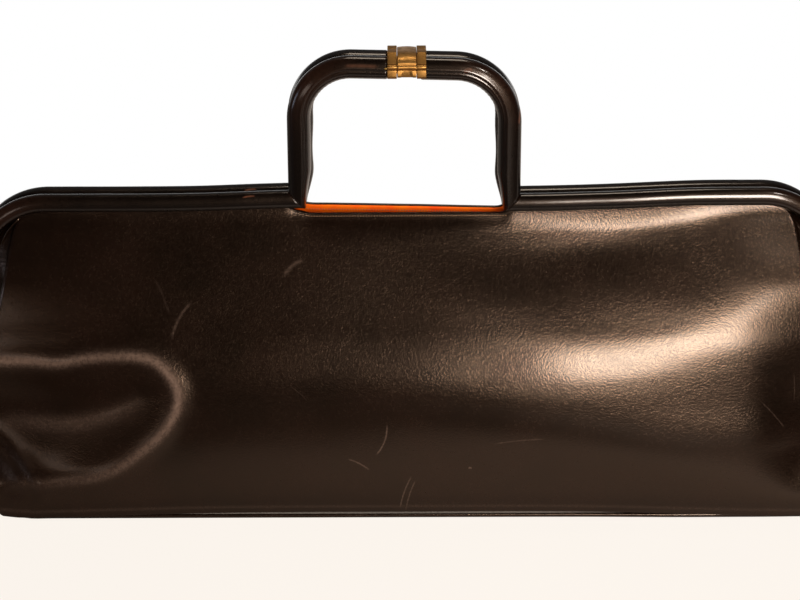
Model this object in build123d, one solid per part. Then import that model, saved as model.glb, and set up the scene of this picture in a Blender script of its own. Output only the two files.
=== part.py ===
"""A frame handbag in leather: a soft lower bag, two hinged frame halves whose rods rise into the handle,
and a brass lever clasp where the halves meet. Millimetres, +Z up, the front faces -Y, and the origin is
the middle of the base on the ground."""

import os

from build123d import *

# Shared allowances
overrun = 5.0
seat_gap = 0.3
glue_gap = 0.05
running_fit = 0.05

# Frame rods: a steel core in leather sleeves, stouter on the handle, one pair in front and one behind
handle_sleeve_d = 11.8
rail_sleeve_d = 9.6
core_d = 6.0
rod_gap = 0.4
frame_width = 441.6
rail_z = 160.0
handle_rise = 68.3
handle_width = 105.0
handle_corner_r = 26.5
end_corner_r = 35.0

# Side hinge
hinge_z = 106.0
hinge_pin_d = 4.0
hinge_head_d = 8.0
hinge_head_t = 1.4
lug_r = 6.0
lug_t = 2.4
lug_gap = 0.6
lug_root_rise = 8.6
sleeve_clear_of_hinge = 12.3
plate_t = 2.0
plate_width = 12.0
plate_drop = 42.0

# Clasp on the top bar
clasp_width = 19.2
collar_width = 4.7
clasp_gap = 0.45
collar_reach = 12.8
collar_top_rise = 7.5
collar_drop = 5.7
collar_chamfer = 5.1
collar_foot_chamfer = 1.3
knuckle_rise = 1.0
knuckle_d = 2.1
clasp_pin_d = 1.0
lever_t = 1.4
lever_set_down = 1.1
lever_rear_reach = 9.4
lip_drop = 4.1
lip_t = 1.3
scoop_r = 3.6
scoop_depth = 0.55
keeper_reach = 11.6

# Lower bag
bag_depth = 89.0
rim_z = 103.0
leather_t = 2.0
gusset_t = 2.0
gusset_rim_drop = 3.0
bottom_corner_r = 6.0
panel_lift = 0.6
base_t = 2.2
board_t = 2.0
lining_t = 1.0
lining_rim_drop = 1.5

# Upper panels, which swing with the frame halves, and their lining facings
top_panel_foot_half_depth = 24.2
top_panel_mid_half_depth = 17.6
top_panel_head_half_depth = 8.8
top_panel_foot_inset = 16.0
top_panel_head_inset = 22.0
top_panel_corner_r = 14.0
top_panel_foot_lift = 1.5
facing_t = 0.9
facing_foot_lift = 2.0
facing_head_drop = 0.8

# Side profile of the lower bag, run on past foot and rim: share of the rim height, share of half the depth
level_shares = [-0.06, 0.06, 0.15, 0.29, 0.43, 0.58, 0.72, 0.87, 1.06]
depth_shares = [0.78, 0.966, 0.995, 1.0, 0.98, 0.943, 0.876, 0.777, 0.59]

# Stations along the bag, run on past its ends, closer together on the dented left end, and the end taper
station_shares = [-1.03, -0.9, -0.8, -0.7, -0.6, -0.5, -0.36, 0.0, 0.5, 0.82, 1.03]
end_taper_share = 0.09
end_taper_power = 4

# Dent pressed into the left end of the front panel
dent_depth = 9.0
dent_centre_x_share = -0.92
dent_centre_z_share = 0.47
dent_length = 82.0
dent_height = 38.0

# Worked out from the sizes above
rod_y = (handle_sleeve_d + rod_gap) / 2
handle_r = handle_sleeve_d / 2
rail_r = rail_sleeve_d / 2
core_r = core_d / 2
bore_r = core_r + glue_gap
arm_x = frame_width / 2 - rail_r
leg_x = handle_width / 2
top_z = rail_z + handle_rise
sleeve_end_z = hinge_z + sleeve_clear_of_hinge
core_end_z = hinge_z + lug_r + lug_gap
collar_x = clasp_width / 2 - collar_width / 2
lever_width = clasp_width - 2 * collar_width - 2 * clasp_gap
knuckle_y = -collar_reach
knuckle_z = top_z + knuckle_rise
inner_lug_x = arm_x - lug_gap / 2 - lug_t
outer_lug_x = arm_x + lug_gap / 2
plate_x = inner_lug_x - lug_gap - plate_t
half_length = plate_x - seat_gap
bag_length = 2 * half_length
half_depth = bag_depth / 2
panel_head_z = rail_z - rail_r - seat_gap
panel_foot_z = rim_z + top_panel_foot_lift
panel_foot_x = arm_x - top_panel_foot_inset
panel_head_x = arm_x - top_panel_head_inset


def rod(points_radius, radius):
    """A round rod of the given radius along straight runs joined by tangent arcs."""
    points, corner_r = points_radius
    path = FilletPolyline(*points, radius=corner_r)
    start = Plane(origin=path @ 0, z_dir=path % 0)
    return sweep(start * Circle(radius), path=path)


def rail_route(y):
    """Right-hand run from the hinge end up the arm, round the end and along the rail past the mitre."""
    foot = (arm_x, y, sleeve_end_z)
    corner = (arm_x, y, rail_z)
    inner = (leg_x - handle_sleeve_d - overrun, y, rail_z)
    return [foot, corner, inner], end_corner_r


def handle_route(y):
    """Right-hand run from below the mitre up the leg, round the handle's corner and along the top bar."""
    foot = (leg_x, y, rail_z - rail_sleeve_d - overrun)
    corner = (leg_x, y, top_z)
    inner = (clasp_width / 2 + seat_gap, y, top_z)
    return [foot, corner, inner], handle_corner_r


def mitre(y, offset):
    """The plane from the inner to the outer corner of rail and leg, moved along the rail by an offset."""
    return Plane(origin=(leg_x + offset, y, rail_z), x_dir=(0, 1, 0), z_dir=(rail_r, 0, -handle_r))


def core_mitre(y):
    """The square mitre of the core, where its rail and leg are equally stout."""
    return Plane(origin=(leg_x, y, rail_z), x_dir=(0, 1, 0), z_dir=(1, 0, -1))


def rail_sleeve(y):
    """Leather sleeve of the right arm and rail, cut to the mitre."""
    tube = rod(rail_route(y), rail_r) - rod(rail_route(y), bore_r)
    return split(tube, bisect_by=mitre(y, glue_gap), keep=Keep.TOP)


def handle_sleeve(y):
    """Leather sleeve of the right leg and half the top bar, cut to the mitre."""
    tube = rod(handle_route(y), handle_r) - rod(handle_route(y), bore_r)
    return split(tube, bisect_by=mitre(y, -glue_gap), keep=Keep.BOTTOM)


def lug(y, lug_x):
    """Flat lug at the foot of the right arm, with the eye that turns on the hinge pin."""
    eye = Circle(lug_r)
    root = Pos(y, lug_root_rise) * Circle(core_r)
    outline = make_hull(eye.edges() + root.edges()) - Circle(hinge_pin_d / 2 + running_fit)
    plane = Plane(origin=(lug_x, 0, hinge_z), x_dir=(0, 1, 0), z_dir=(1, 0, 0))
    return extrude(plane * outline, amount=lug_t)


def core(y, lug_x):
    """Steel core of one frame half: both arms, rails and legs, the top bar, and the four bends."""
    rail_points, rail_bend_r = rail_route(y)
    rail_points[0] = (arm_x, y, core_end_z)
    rail = split(rod((rail_points, rail_bend_r), core_r), bisect_by=core_mitre(y), keep=Keep.TOP)
    leg_points, leg_bend_r = handle_route(y)
    leg_points[-1] = (0, y, top_z)
    leg = split(rod((leg_points, leg_bend_r), core_r), bisect_by=core_mitre(y), keep=Keep.BOTTOM)
    half = rail + leg + lug(y, lug_x)
    return half + mirror(half, about=Plane.YZ)


def turned(points):
    """The YZ outline given as (y, z) points, ready to be pulled along X about the middle."""
    return Plane.YZ * make_face(Polyline(*points, close=True))


def across(points, width, middle_x):
    """A prism of the YZ outline, of the given width in X about the given middle."""
    return Pos(middle_x - width / 2, 0, 0) * extrude(turned(points), amount=width)


def rod_along_x(radius, length, middle_x, y, z):
    """A round bar along X."""
    return Pos(middle_x, y, z) * Rot(0, 90, 0) * Cylinder(radius, length)


def collar(middle_x, hinged):
    """One brass collar of the front half, bored for the core, with its hinge knuckle where it has one."""
    parting = -rod_gap / 2
    top = top_z + collar_top_rise
    foot = top_z - collar_drop
    outline = [
        (parting, foot),
        (parting, top),
        (collar_chamfer - collar_reach, top),
        (-collar_reach, top - collar_chamfer),
        (-collar_reach, foot + collar_foot_chamfer),
        (collar_foot_chamfer - collar_reach, foot),
    ]
    block = across(outline, collar_width, middle_x)
    if hinged:
        block += rod_along_x(knuckle_d / 2, collar_width, middle_x, knuckle_y, knuckle_z)
        pin_hole_r = clasp_pin_d / 2 + glue_gap
        block -= rod_along_x(pin_hole_r, collar_width + overrun, middle_x, knuckle_y, knuckle_z)
    return block - rod_along_x(bore_r, collar_width + overrun, middle_x, -rod_y, top_z)


def clasp_pin():
    """Hinge pin through the three knuckles."""
    return rod_along_x(clasp_pin_d / 2, clasp_width, 0, knuckle_y, knuckle_z)


def clasp_lever():
    """Lever that turns on the pin: a cover over both rods behind it and a scooped thumb lip below it."""
    top = top_z + collar_top_rise - lever_set_down
    front = -collar_reach
    shoulder_y = collar_chamfer - collar_reach
    shoulder_z = top - collar_chamfer + lever_set_down
    outer = [(front, knuckle_z), (front, shoulder_z), (shoulder_y, top), (lever_rear_reach, top)]
    inner = [
        (lever_rear_reach, top - lever_t),
        (shoulder_y + lever_t / 2, top - lever_t),
        (front + lever_t, shoulder_z - lever_t / 2),
        (front + lever_t, knuckle_z),
    ]
    cover = across(outer + inner, lever_width, 0)
    crown = cover.edges().filter_by(Axis.X).group_by(Axis.Z)[-1]
    cover = fillet(crown.sort_by(Axis.Y)[0], radius=collar_chamfer / 2)
    lip_foot = knuckle_z - knuckle_d / 2 - lip_drop
    lip = across(
        [(front, knuckle_z), (front, lip_foot), (front + lip_t, lip_foot), (front + lip_t, knuckle_z)],
        lever_width,
        0,
    )
    scoop = Pos(0, front + scoop_depth - scoop_r, lip_foot) * Sphere(scoop_r)
    barrel = rod_along_x(knuckle_d / 2, lever_width, 0, knuckle_y, knuckle_z)
    bore = rod_along_x(clasp_pin_d / 2 + running_fit, lever_width + overrun, 0, knuckle_y, knuckle_z)
    return cover + (lip - scoop) + barrel - bore


def clasp_keeper():
    """Saddle on the rear core, between the rear collars, that the lever's cover closes over."""
    head = top_z + collar_top_rise - lever_set_down - lever_t - seat_gap
    foot = top_z - collar_drop + collar_foot_chamfer
    near = rod_gap / 2
    outline = [(near, foot), (near, head), (lever_rear_reach, head), (keeper_reach, top_z), (keeper_reach, foot)]
    block = across(outline, lever_width, 0)
    return block - rod_along_x(bore_r, lever_width + overrun, 0, rod_y, top_z)


def dent(x, z):
    """How far the front panel is pressed in at a point: a smooth bowl with an elliptical edge."""
    across_share = (x - dent_centre_x_share * half_length) / dent_length
    up_share = (z - dent_centre_z_share * rim_z) / dent_height
    inside = max(0, 1 - across_share**2 - up_share**2)
    return dent_depth * inside**2


def wall_points(x, inset, front):
    """Points up the outer face of one panel at a station, set in by the given inset."""
    taper = 1 - end_taper_share * abs(x / half_length) ** end_taper_power
    points = []
    for level, depth in zip(level_shares, depth_shares):
        z = level * rim_z
        reach = depth * half_depth * taper - inset
        points.append((x, dent(x, z) - reach, z) if front else (x, reach, z))
    return points


def station_face(near, far):
    """Face between two rows of wall points at one station."""
    near_edge = Spline(*near)
    far_edge = Spline(*far)
    foot = Line(near[0], far[0])
    head = Line(near[-1], far[-1])
    return make_face([near_edge, head, far_edge, foot])


def wall(inset, thickness, front):
    """One long side wall of the lower bag, from station to station."""
    faces = []
    for share in station_shares:
        x = share * half_length
        outer = wall_points(x, inset, front)
        inner = wall_points(x, inset + thickness, front)
        faces.append(station_face(outer, inner))
    return loft(faces)


def hollow(inset):
    """The room between the two long walls, set in from their outer faces."""
    faces = []
    for share in station_shares:
        x = share * half_length
        faces.append(station_face(wall_points(x, inset, True), wall_points(x, inset, False)))
    return loft(faces)


def end_view(inset, foot, head):
    """A prism of the bag's outline as seen from the front, set in at both ends, between two heights."""
    width = bag_length - 2 * inset
    outline = Pos(0, (foot + head) / 2) * Rectangle(width, head - foot)
    corners = outline.vertices().group_by(Axis.Y)[0]
    outline = fillet(corners, radius=bottom_corner_r)
    return extrude(Plane.XZ * outline, amount=bag_depth, both=True)


def panel(front):
    """Front or rear panel of the lower bag."""
    return wall(0, leather_t, front) & end_view(0, panel_lift, rim_z)


def gusset(right):
    """End gusset between the two panels, from the base to just below the hinge."""
    foot = base_t + seat_gap
    head = rim_z - gusset_rim_drop
    room = hollow(leather_t + seat_gap)
    ring = end_view(0, 0, head) - end_view(gusset_t, 0, head + overrun)
    side = Pos(half_length if right else -half_length, 0, foot) * Box(
        half_length, bag_depth, head, align=(Align.CENTER, Align.CENTER, Align.MIN)
    )
    return room & ring & side


def floor_slab(inset, foot, head):
    """A level slab that fills the room between the panels, set in at both ends, between two heights."""
    length = bag_length - 2 * inset
    slab = Pos(0, 0, foot) * Box(
        length, bag_depth, head - foot, align=(Align.CENTER, Align.CENTER, Align.MIN)
    )
    return hollow(leather_t + seat_gap) & slab


def base_panel():
    """Flat leather base between the panels, which the bag stands on."""
    return floor_slab(gusset_t, 0, base_t)


def base_board():
    """Stiffening board on the base panel."""
    return floor_slab(gusset_t + bottom_corner_r, base_t, base_t + board_t)


def lining():
    """Lining of the lower bag, one open tub inside the panels, gussets and board."""
    side_inset = gusset_t + seat_gap
    wall_inset = leather_t + seat_gap
    foot = base_t + board_t + seat_gap
    head = rim_z - lining_rim_drop
    outside = hollow(wall_inset) & end_view(side_inset, foot, head)
    inside = hollow(wall_inset + lining_t) & end_view(side_inset + lining_t, foot + lining_t, head + overrun)
    return outside - inside


def top_section(inset, foot, head, thickness):
    """YZ section of an upper panel: two like arcs from foot to head, a thickness apart."""
    middle = (foot + head) / 2
    outer = [
        (inset - top_panel_foot_half_depth, foot),
        (inset - top_panel_mid_half_depth, middle),
        (inset - top_panel_head_half_depth, head),
    ]
    inner = [(y + thickness, z) for y, z in outer]
    edges = [
        ThreePointArc(*outer),
        Line(outer[2], inner[2]),
        ThreePointArc(*inner),
        Line(outer[0], inner[0]),
    ]
    return Plane.YZ * make_face(edges)


def top_outline(foot, head):
    """Front view of an upper panel, narrowing upwards, with round upper corners inside the frame's bends."""
    points = [
        (-panel_foot_x, foot),
        (panel_foot_x, foot),
        (panel_head_x, head),
        (-panel_head_x, head),
    ]
    outline = make_face(Polyline(*points, close=True))
    outline = fillet(outline.vertices().group_by(Axis.Y)[-1], radius=top_panel_corner_r)
    return extrude(Plane.XZ * outline, amount=bag_depth, both=True)


def top_panel():
    """Upper front panel, hung under the front rail."""
    section = top_section(0, panel_foot_z, panel_head_z, leather_t)
    return extrude(section, amount=bag_length / 2, both=True) & top_outline(panel_foot_z, panel_head_z)


def facing():
    """Lining facing on the inside of the upper front panel."""
    foot = panel_foot_z + facing_foot_lift
    head = panel_head_z - facing_head_drop
    section = top_section(leather_t + seat_gap, panel_foot_z, panel_head_z, facing_t)
    return extrude(section, amount=bag_length / 2, both=True) & top_outline(foot, head)


def hinge_plate():
    """Right hinge plate, a tongue on the outside of the gusset that carries the hinge pin."""
    foot = hinge_z - plate_drop
    face = Pos(0, (hinge_z + foot) / 2) * Rectangle(plate_width, hinge_z - foot)
    face = face + Pos(0, hinge_z) * Circle(plate_width / 2)
    face = face - Pos(0, hinge_z) * Circle(hinge_pin_d / 2 + glue_gap)
    plane = Plane(origin=(plate_x, 0, 0), x_dir=(0, 1, 0), z_dir=(1, 0, 0))
    return extrude(plane * face, amount=plate_t)


def hinge_rivet():
    """Right hinge rivet: a pin through plate and lugs, with a head at each end."""
    inner_x = plate_x
    outer_x = outer_lug_x + lug_t + lug_gap
    pin = rod_along_x(hinge_pin_d / 2, outer_x - inner_x, (inner_x + outer_x) / 2, 0, hinge_z)
    outer_head = rod_along_x(hinge_head_d / 2, hinge_head_t, outer_x + hinge_head_t / 2, 0, hinge_z)
    inner_head = rod_along_x(hinge_head_d / 2, hinge_head_t, inner_x - hinge_head_t / 2, 0, hinge_z)
    return pin + outer_head + inner_head


def to_rear(shape):
    """The same piece on the rear half."""
    return mirror(shape, about=Plane.XZ)


def to_left(shape):
    """The same piece on the left side."""
    return mirror(shape, about=Plane.YZ)


def frame_half_nodes():
    """Every piece of the two frame halves."""
    nodes = {
        "front_frame_core": core(-rod_y, inner_lug_x),
        "rear_frame_core": core(rod_y, outer_lug_x),
    }
    rail = rail_sleeve(-rod_y)
    handle = handle_sleeve(-rod_y)
    strip = top_panel()
    lining_strip = facing()
    for half, place in (("front", lambda shape: shape), ("rear", to_rear)):
        nodes[half + "_right_rail_sleeve"] = place(rail)
        nodes[half + "_left_rail_sleeve"] = to_left(place(rail))
        nodes[half + "_right_handle_sleeve"] = place(handle)
        nodes[half + "_left_handle_sleeve"] = to_left(place(handle))
        nodes[half + "_panel_top"] = place(strip)
        nodes[half + "_facing"] = place(lining_strip)
    return nodes


def clasp_nodes():
    """Every piece of the clasp."""
    return {
        "clasp_front_left_collar": collar(-collar_x, True),
        "clasp_front_right_collar": collar(collar_x, True),
        "clasp_rear_left_collar": to_rear(collar(-collar_x, False)),
        "clasp_rear_right_collar": to_rear(collar(collar_x, False)),
        "clasp_pin": clasp_pin(),
        "clasp_lever": clasp_lever(),
        "clasp_keeper": clasp_keeper(),
    }


def bag_nodes():
    """Every piece of the lower bag and the side hinges."""
    return {
        "front_panel": panel(True),
        "rear_panel": panel(False),
        "left_gusset": gusset(False),
        "right_gusset": gusset(True),
        "base_panel": base_panel(),
        "base_board": base_board(),
        "lining": lining(),
        "right_hinge_plate": hinge_plate(),
        "left_hinge_plate": to_left(hinge_plate()),
        "right_hinge_rivet": hinge_rivet(),
        "left_hinge_rivet": to_left(hinge_rivet()),
    }


os.makedirs("parts", exist_ok=True)
for name, shape in {**frame_half_nodes(), **clasp_nodes(), **bag_nodes()}.items():
    export_step(shape, os.path.join("parts", name + ".step"))
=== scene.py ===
"""Looks of a leather frame handbag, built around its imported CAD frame.

Lengths here are millimetres, and add_piece() turns them into metres. X runs along the bag, the front faces
minus Y, Z is up, and the bag stands on Z = 0.
"""

import logging
import math
from dataclasses import dataclass, replace
from enum import Enum

import bmesh
import bpy
import numpy as np
from mathutils import Matrix, Vector


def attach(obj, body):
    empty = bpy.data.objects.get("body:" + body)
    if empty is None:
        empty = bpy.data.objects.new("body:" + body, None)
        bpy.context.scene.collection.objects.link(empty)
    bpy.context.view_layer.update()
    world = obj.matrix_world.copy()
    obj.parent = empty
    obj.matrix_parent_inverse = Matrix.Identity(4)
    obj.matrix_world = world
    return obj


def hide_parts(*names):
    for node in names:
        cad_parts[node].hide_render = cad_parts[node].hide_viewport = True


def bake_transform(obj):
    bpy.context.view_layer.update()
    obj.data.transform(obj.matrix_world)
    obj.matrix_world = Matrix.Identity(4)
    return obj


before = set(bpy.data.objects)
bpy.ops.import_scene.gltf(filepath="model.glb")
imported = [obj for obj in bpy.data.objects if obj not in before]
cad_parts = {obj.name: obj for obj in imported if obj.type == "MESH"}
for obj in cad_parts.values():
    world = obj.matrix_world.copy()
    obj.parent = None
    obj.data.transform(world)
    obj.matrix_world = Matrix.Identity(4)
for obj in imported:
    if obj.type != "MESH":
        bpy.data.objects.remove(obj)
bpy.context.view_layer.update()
LOG = logging.getLogger("handbag")
MM = 0.001
REST = "rest_mm"
WEAR = "wear"
Array = np.ndarray
Socket = bpy.types.NodeSocket
Tree = bpy.types.NodeTree
Pair = tuple[float, float]


class Half(Enum):
    """The two long sides of the bag, with their names and the way they face along Y."""

    FRONT = ("front", -1.0)
    REAR = ("rear", 1.0)

    def __init__(self, label: str, facing: float) -> None:
        """Keeps the name and the facing."""
        self.label = label
        self.facing = facing

    @property
    def body(self) -> str:
        """CAD body of this half of the frame."""
        return f"{self.label}_frame"


class Side(Enum):
    """The two ends of the bag, with their names and the way they face along X."""

    LEFT = ("left", -1.0)
    RIGHT = ("right", 1.0)

    def __init__(self, label: str, facing: float) -> None:
        """Keeps the name and the facing."""
        self.label = label
        self.facing = facing


def linear(code: str) -> tuple[float, float, float, float]:
    """Turns a colour from sRGB hex to linear light.

    Args:
        code: six hex digits after a hash sign.

    Returns:
        Linear red, green and blue, and an alpha of 1.
    """
    srgb = np.array([int(code[i : i + 2], 16) for i in (1, 3, 5)]) / 255.0
    light = np.where(srgb <= 0.04045, srgb / 12.92, ((srgb + 0.055) / 1.055) ** 2.4)
    return (*(float(c) for c in light), 1.0)


def smooth(start: float, end: float, x: Array) -> Array:
    """Smooth step from 0 at start to 1 at end: three times the share squared less twice its cube.

    Args:
        start: where the step begins.
        end: where it is complete.
        x: places to work it out.

    Returns:
        The step's height at each place.
    """
    share = np.clip((x - start) / (end - start), 0.0, 1.0)
    return share * share * (3.0 - 2.0 * share)


def bell(x: Array, width: Array | float) -> Array:
    """Bell curve: e to the power of minus the square of the distance, counted in widths."""
    return np.exp(-((x / width) ** 2))


def through(x: Array, knots: tuple[tuple[float, float], ...]) -> Array:
    """Smooth curve through knots: a cubic between each pair, its slopes the mean of the neighbouring runs'.

    Args:
        x: places to work it out, held to the knots' range.
        knots: pairs of place and value, in order.

    Returns:
        The curve's value at each place.
    """
    places, values = np.array(knots, float).T
    slopes = np.gradient(values, places)
    x = np.clip(x, places[0], places[-1])
    i = np.clip(np.searchsorted(places, x) - 1, 0, len(places) - 2)
    run = places[i + 1] - places[i]
    t = (x - places[i]) / run
    lower = (1 + 2 * t) * (1 - t) ** 2 * values[i] + t * (1 - t) ** 2 * run * slopes[i]
    upper = t * t * (3 - 2 * t) * values[i + 1] + t * t * (t - 1) * run * slopes[i + 1]
    return lower + upper


def unit(v: Array) -> Array:
    """Scales vectors along the last axis to length 1."""
    return v / np.maximum(np.linalg.norm(v, axis=-1, keepdims=True), 1e-9)


@dataclass(frozen=True)
class Trace:
    """A line drawn on the front of the bag, as points of X and Z."""

    points: tuple[tuple[float, float], ...]
    samples: int = 70

    def dense(self) -> Array:
        """Points along the smooth curve through the trace's own points, even in chord length.

        Returns:
            X and Z of each point.
        """
        points = np.array(self.points, float)
        chord = np.concatenate([[0.0], np.cumsum(np.linalg.norm(np.diff(points, axis=0), axis=1))])
        along = np.linspace(0.0, chord[-1], self.samples)
        return np.stack([through(along, tuple(zip(chord, column))) for column in points.T], axis=1)

    def measure(self, x: Array, z: Array) -> tuple[Array, Array]:
        """Distance from places on the bag to the trace.

        The nearest point of every short run of the trace is found at once, and the nearest run is kept. The
        distance is positive to the right of the trace's direction, where its inside lies.

        Args:
            x: places along the bag.
            z: heights, of the same shape.

        Returns:
            The signed distance, and the share of the trace's length at its nearest point.
        """
        line = self.dense()
        start, run = line[:-1], np.diff(line, axis=0)
        place = np.stack([x.ravel(), z.ravel()], axis=1)[:, None, :] - start
        share = np.clip((place * run).sum(-1) / (run * run).sum(-1), 0.0, 1.0)
        gap = np.linalg.norm(place - share[..., None] * run, axis=-1)
        nearest = gap.argmin(axis=1)
        row = np.arange(len(nearest))
        offset = place[row, nearest]
        turn = run[nearest, 0] * offset[:, 1] - run[nearest, 1] * offset[:, 0]
        along = (nearest + share[row, nearest]) / len(run)
        signed = np.where(turn > 0, -1.0, 1.0) * gap[row, nearest]
        return signed.reshape(x.shape), along.reshape(x.shape)


def grid_quads(index: Array, wrap: bool = False) -> Array:
    """Quads of a grid of vertex numbers.

    Args:
        index: vertex numbers by row and column.
        wrap: whether the last column joins the first.

    Returns:
        Four vertex numbers for each face.
    """
    if wrap:
        index = np.concatenate([index, index[:, :1]], axis=1)
    corners = [index[:-1, :-1], index[1:, :-1], index[1:, 1:], index[:-1, 1:]]
    return np.stack([c.ravel() for c in corners], axis=1)


def shell(face: Array, thickness: float, rim_share: float = 0.4) -> tuple[Array, list]:
    """Closes a sheet: the face, a copy a thickness behind it along its normal, and a rounded rim.

    The normal is the cross product of the slopes along the grid's rows and columns. The rim's middle line
    stands out from the edge, away from the face's next row, by a share of the thickness.

    Args:
        face: grid of points, rows by columns by three.
        thickness: from the face to its copy.
        rim_share: how round the rim is.

    Returns:
        The points and the quads.
    """
    rows, columns, _ = face.shape
    normal = unit(np.cross(np.gradient(face, axis=0), np.gradient(face, axis=1)))
    back = face - normal * thickness
    index = np.arange(rows * columns).reshape(rows, columns)
    r, c = np.divmod(index, columns)
    loop = np.concatenate([index[:-1, 0], index[-1, :-1], index[:0:-1, -1], index[0, :0:-1]])
    inner = index[np.clip(r, 1, rows - 2), np.clip(c, 1, columns - 2)].ravel()[loop]
    flat, flat_back = face.reshape(-1, 3), back.reshape(-1, 3)
    outward = unit(flat[loop] - flat[inner])
    rim = (flat[loop] + flat_back[loop]) / 2 + outward * thickness * rim_share
    behind = index + rows * columns
    rim_index = np.arange(len(loop)) + 2 * rows * columns
    bands = np.stack([loop, rim_index, behind.ravel()[loop]], axis=0)
    quads = np.concatenate([grid_quads(index), grid_quads(behind)[:, ::-1], grid_quads(bands, wrap=True)])
    return np.concatenate([flat, flat_back, rim]), quads.tolist()


def tube(rings: Array) -> tuple[Array, list]:
    """Closes a tube of rings with a fan of triangles at each end.

    Args:
        rings: points by ring, by place around it, by three.

    Returns:
        The points and the faces.
    """
    count, around, _ = rings.shape
    index = np.arange(count * around).reshape(count, around)
    points = np.concatenate([rings.reshape(-1, 3), rings[[0, -1]].mean(axis=1)])
    faces = grid_quads(index, wrap=True).tolist()
    for ring, hub in ((index[0], count * around), (index[-1], count * around + 1)):
        faces += np.stack([ring, np.roll(ring, -1), np.full(around, hub)], axis=1).tolist()
    return points, faces


def joined(*parts: tuple[Array, list]) -> tuple[Array, list]:
    """Puts several point and face lists into one.

    Args:
        parts: pairs of points and faces.

    Returns:
        All the points, and the faces renumbered.
    """
    starts = np.cumsum([0] + [len(points) for points, _ in parts])
    faces = [[v + int(start) for v in face] for (_, fs), start in zip(parts, starts) for face in fs]
    return np.concatenate([points for points, _ in parts]), faces


def add_piece(name: str, points: Array, faces: list, sharp_deg: float = 180.0) -> bpy.types.Object:
    """Makes a closed mesh into an object at the origin, smooth, with its faces outwards.

    Args:
        name: the piece's name.
        points: its points in millimetres.
        faces: vertex numbers of each face.
        sharp_deg: edges sharper than this stay crisp.

    Returns:
        The new object, with its resting place kept as an attribute for its material.
    """
    mesh = bpy.data.meshes.new(name)
    mesh.from_pydata((points * MM).tolist(), [], faces)
    rest = mesh.attributes.new(REST, "FLOAT_VECTOR", "POINT")
    rest.data.foreach_set("vector", points.astype(np.float32).ravel())
    work = bmesh.new()
    work.from_mesh(mesh)
    bmesh.ops.recalc_face_normals(work, faces=work.faces)
    work.to_mesh(mesh)
    work.free()
    mesh.polygons.foreach_set("use_smooth", np.ones(len(mesh.polygons), bool))
    mesh.set_sharp_from_angle(angle=math.radians(sharp_deg))
    piece = bpy.data.objects.new(name, mesh)
    bpy.context.scene.collection.objects.link(piece)
    return piece


def mark(piece: bpy.types.Object, values: Array) -> None:
    """Keeps a share for each vertex for the material to read: rubbing and oxide, with painted highlights on
    some pieces and painted shade on others.

    Args:
        piece: the object that is marked.
        values: one share for each vertex.
    """
    attribute = piece.data.attributes.new(WEAR, "FLOAT", "POINT")
    attribute.data.foreach_set("value", np.ascontiguousarray(values, np.float32).ravel())


def dress(piece: bpy.types.Object, material: bpy.types.Material) -> bpy.types.Object:
    """Gives a piece its material.

    Args:
        piece: the object to dress.
        material: its finish.

    Returns:
        The same object.
    """
    piece.data.materials.clear()
    piece.data.materials.append(material)
    LOG.info("%s: %d faces, %s", piece.name, len(piece.data.polygons), material.name)
    return piece


def set_inputs(tree: Tree, node: bpy.types.Node, inputs: dict) -> None:
    """Sets a node's inputs, by name or number, to values, or links them to sockets.

    Args:
        tree: the material's or world's tree.
        node: the node.
        inputs: values or sockets, by input name or number.
    """
    for key, value in inputs.items():
        if isinstance(value, Socket):
            tree.links.new(value, node.inputs[key])
        else:
            node.inputs[key].default_value = value


def add_node(
    tree: Tree, kind: str, settings: dict | None = None, inputs: dict | None = None
) -> bpy.types.Node:
    """Adds a node with its settings, and sets or links its inputs.

    Args:
        tree: the material's or world's tree.
        kind: Blender's name for the node, less the part that all of them share.
        settings: properties of the node by name.
        inputs: values or sockets, by input name or number.

    Returns:
        The node.
    """
    node = tree.nodes.new("ShaderNode" + kind)
    for key, value in (settings or {}).items():
        setattr(node, key, value)
    set_inputs(tree, node, inputs or {})
    return node


def maths(tree: Tree, operation: str, *values: Socket | float, clamp: bool = False) -> Socket:
    """Adds one step of arithmetic on sockets or numbers, under Blender's name for it."""
    settings = {"operation": operation, "use_clamp": clamp}
    return add_node(tree, "Math", settings, dict(enumerate(values))).outputs[0]


def ranged(tree: Tree, value: Socket, source: Pair, target: Pair = (0.0, 1.0), soft: bool = False) -> Socket:
    """Maps a value from one range to another.

    Args:
        tree: the material's or world's tree.
        value: what is mapped, held to its range.
        source: the range it comes from.
        target: the range it goes to.
        soft: whether the way between is a smooth step, not a straight line.

    Returns:
        Socket with the mapped value.
    """
    settings = {"interpolation_type": "SMOOTHSTEP" if soft else "LINEAR"}
    return add_node(tree, "MapRange", settings, dict(enumerate((value, *source, *target)))).outputs[0]


def blended(tree: Tree, share: Socket, first: Socket | str, second: Socket | str) -> Socket:
    """Mixes two colours, given as hex codes or sockets, by a share of the second."""
    first, second = (linear(c) if isinstance(c, str) else c for c in (first, second))
    return add_node(tree, "Mix", {"data_type": "RGBA"}, {0: share, 6: first, 7: second}).outputs[2]


def noise(tree: Tree, place: Socket, size: float, detail: float, **more: float) -> Socket:
    """Adds noise about as coarse as a size, in the units of the place.

    Args:
        tree: the material's tree.
        place: socket with the place.
        size: how coarse it is.
        detail: how many finer layers it has.
        more: its other inputs, by name in small letters.

    Returns:
        Socket with the noise.
    """
    inputs = {"Vector": place, "Scale": 1 / size, "Detail": detail}
    inputs.update({key.capitalize(): value for key, value in more.items()})
    return add_node(tree, "TexNoise", None, inputs).outputs[0]


def stretched(tree: Tree, place: Socket, scale: tuple[float, float, float]) -> Socket:
    """Scales a place along each axis, so that what is drawn on it comes out drawn long."""
    return add_node(tree, "Mapping", None, {"Vector": place, "Scale": scale}).outputs[0]


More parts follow.
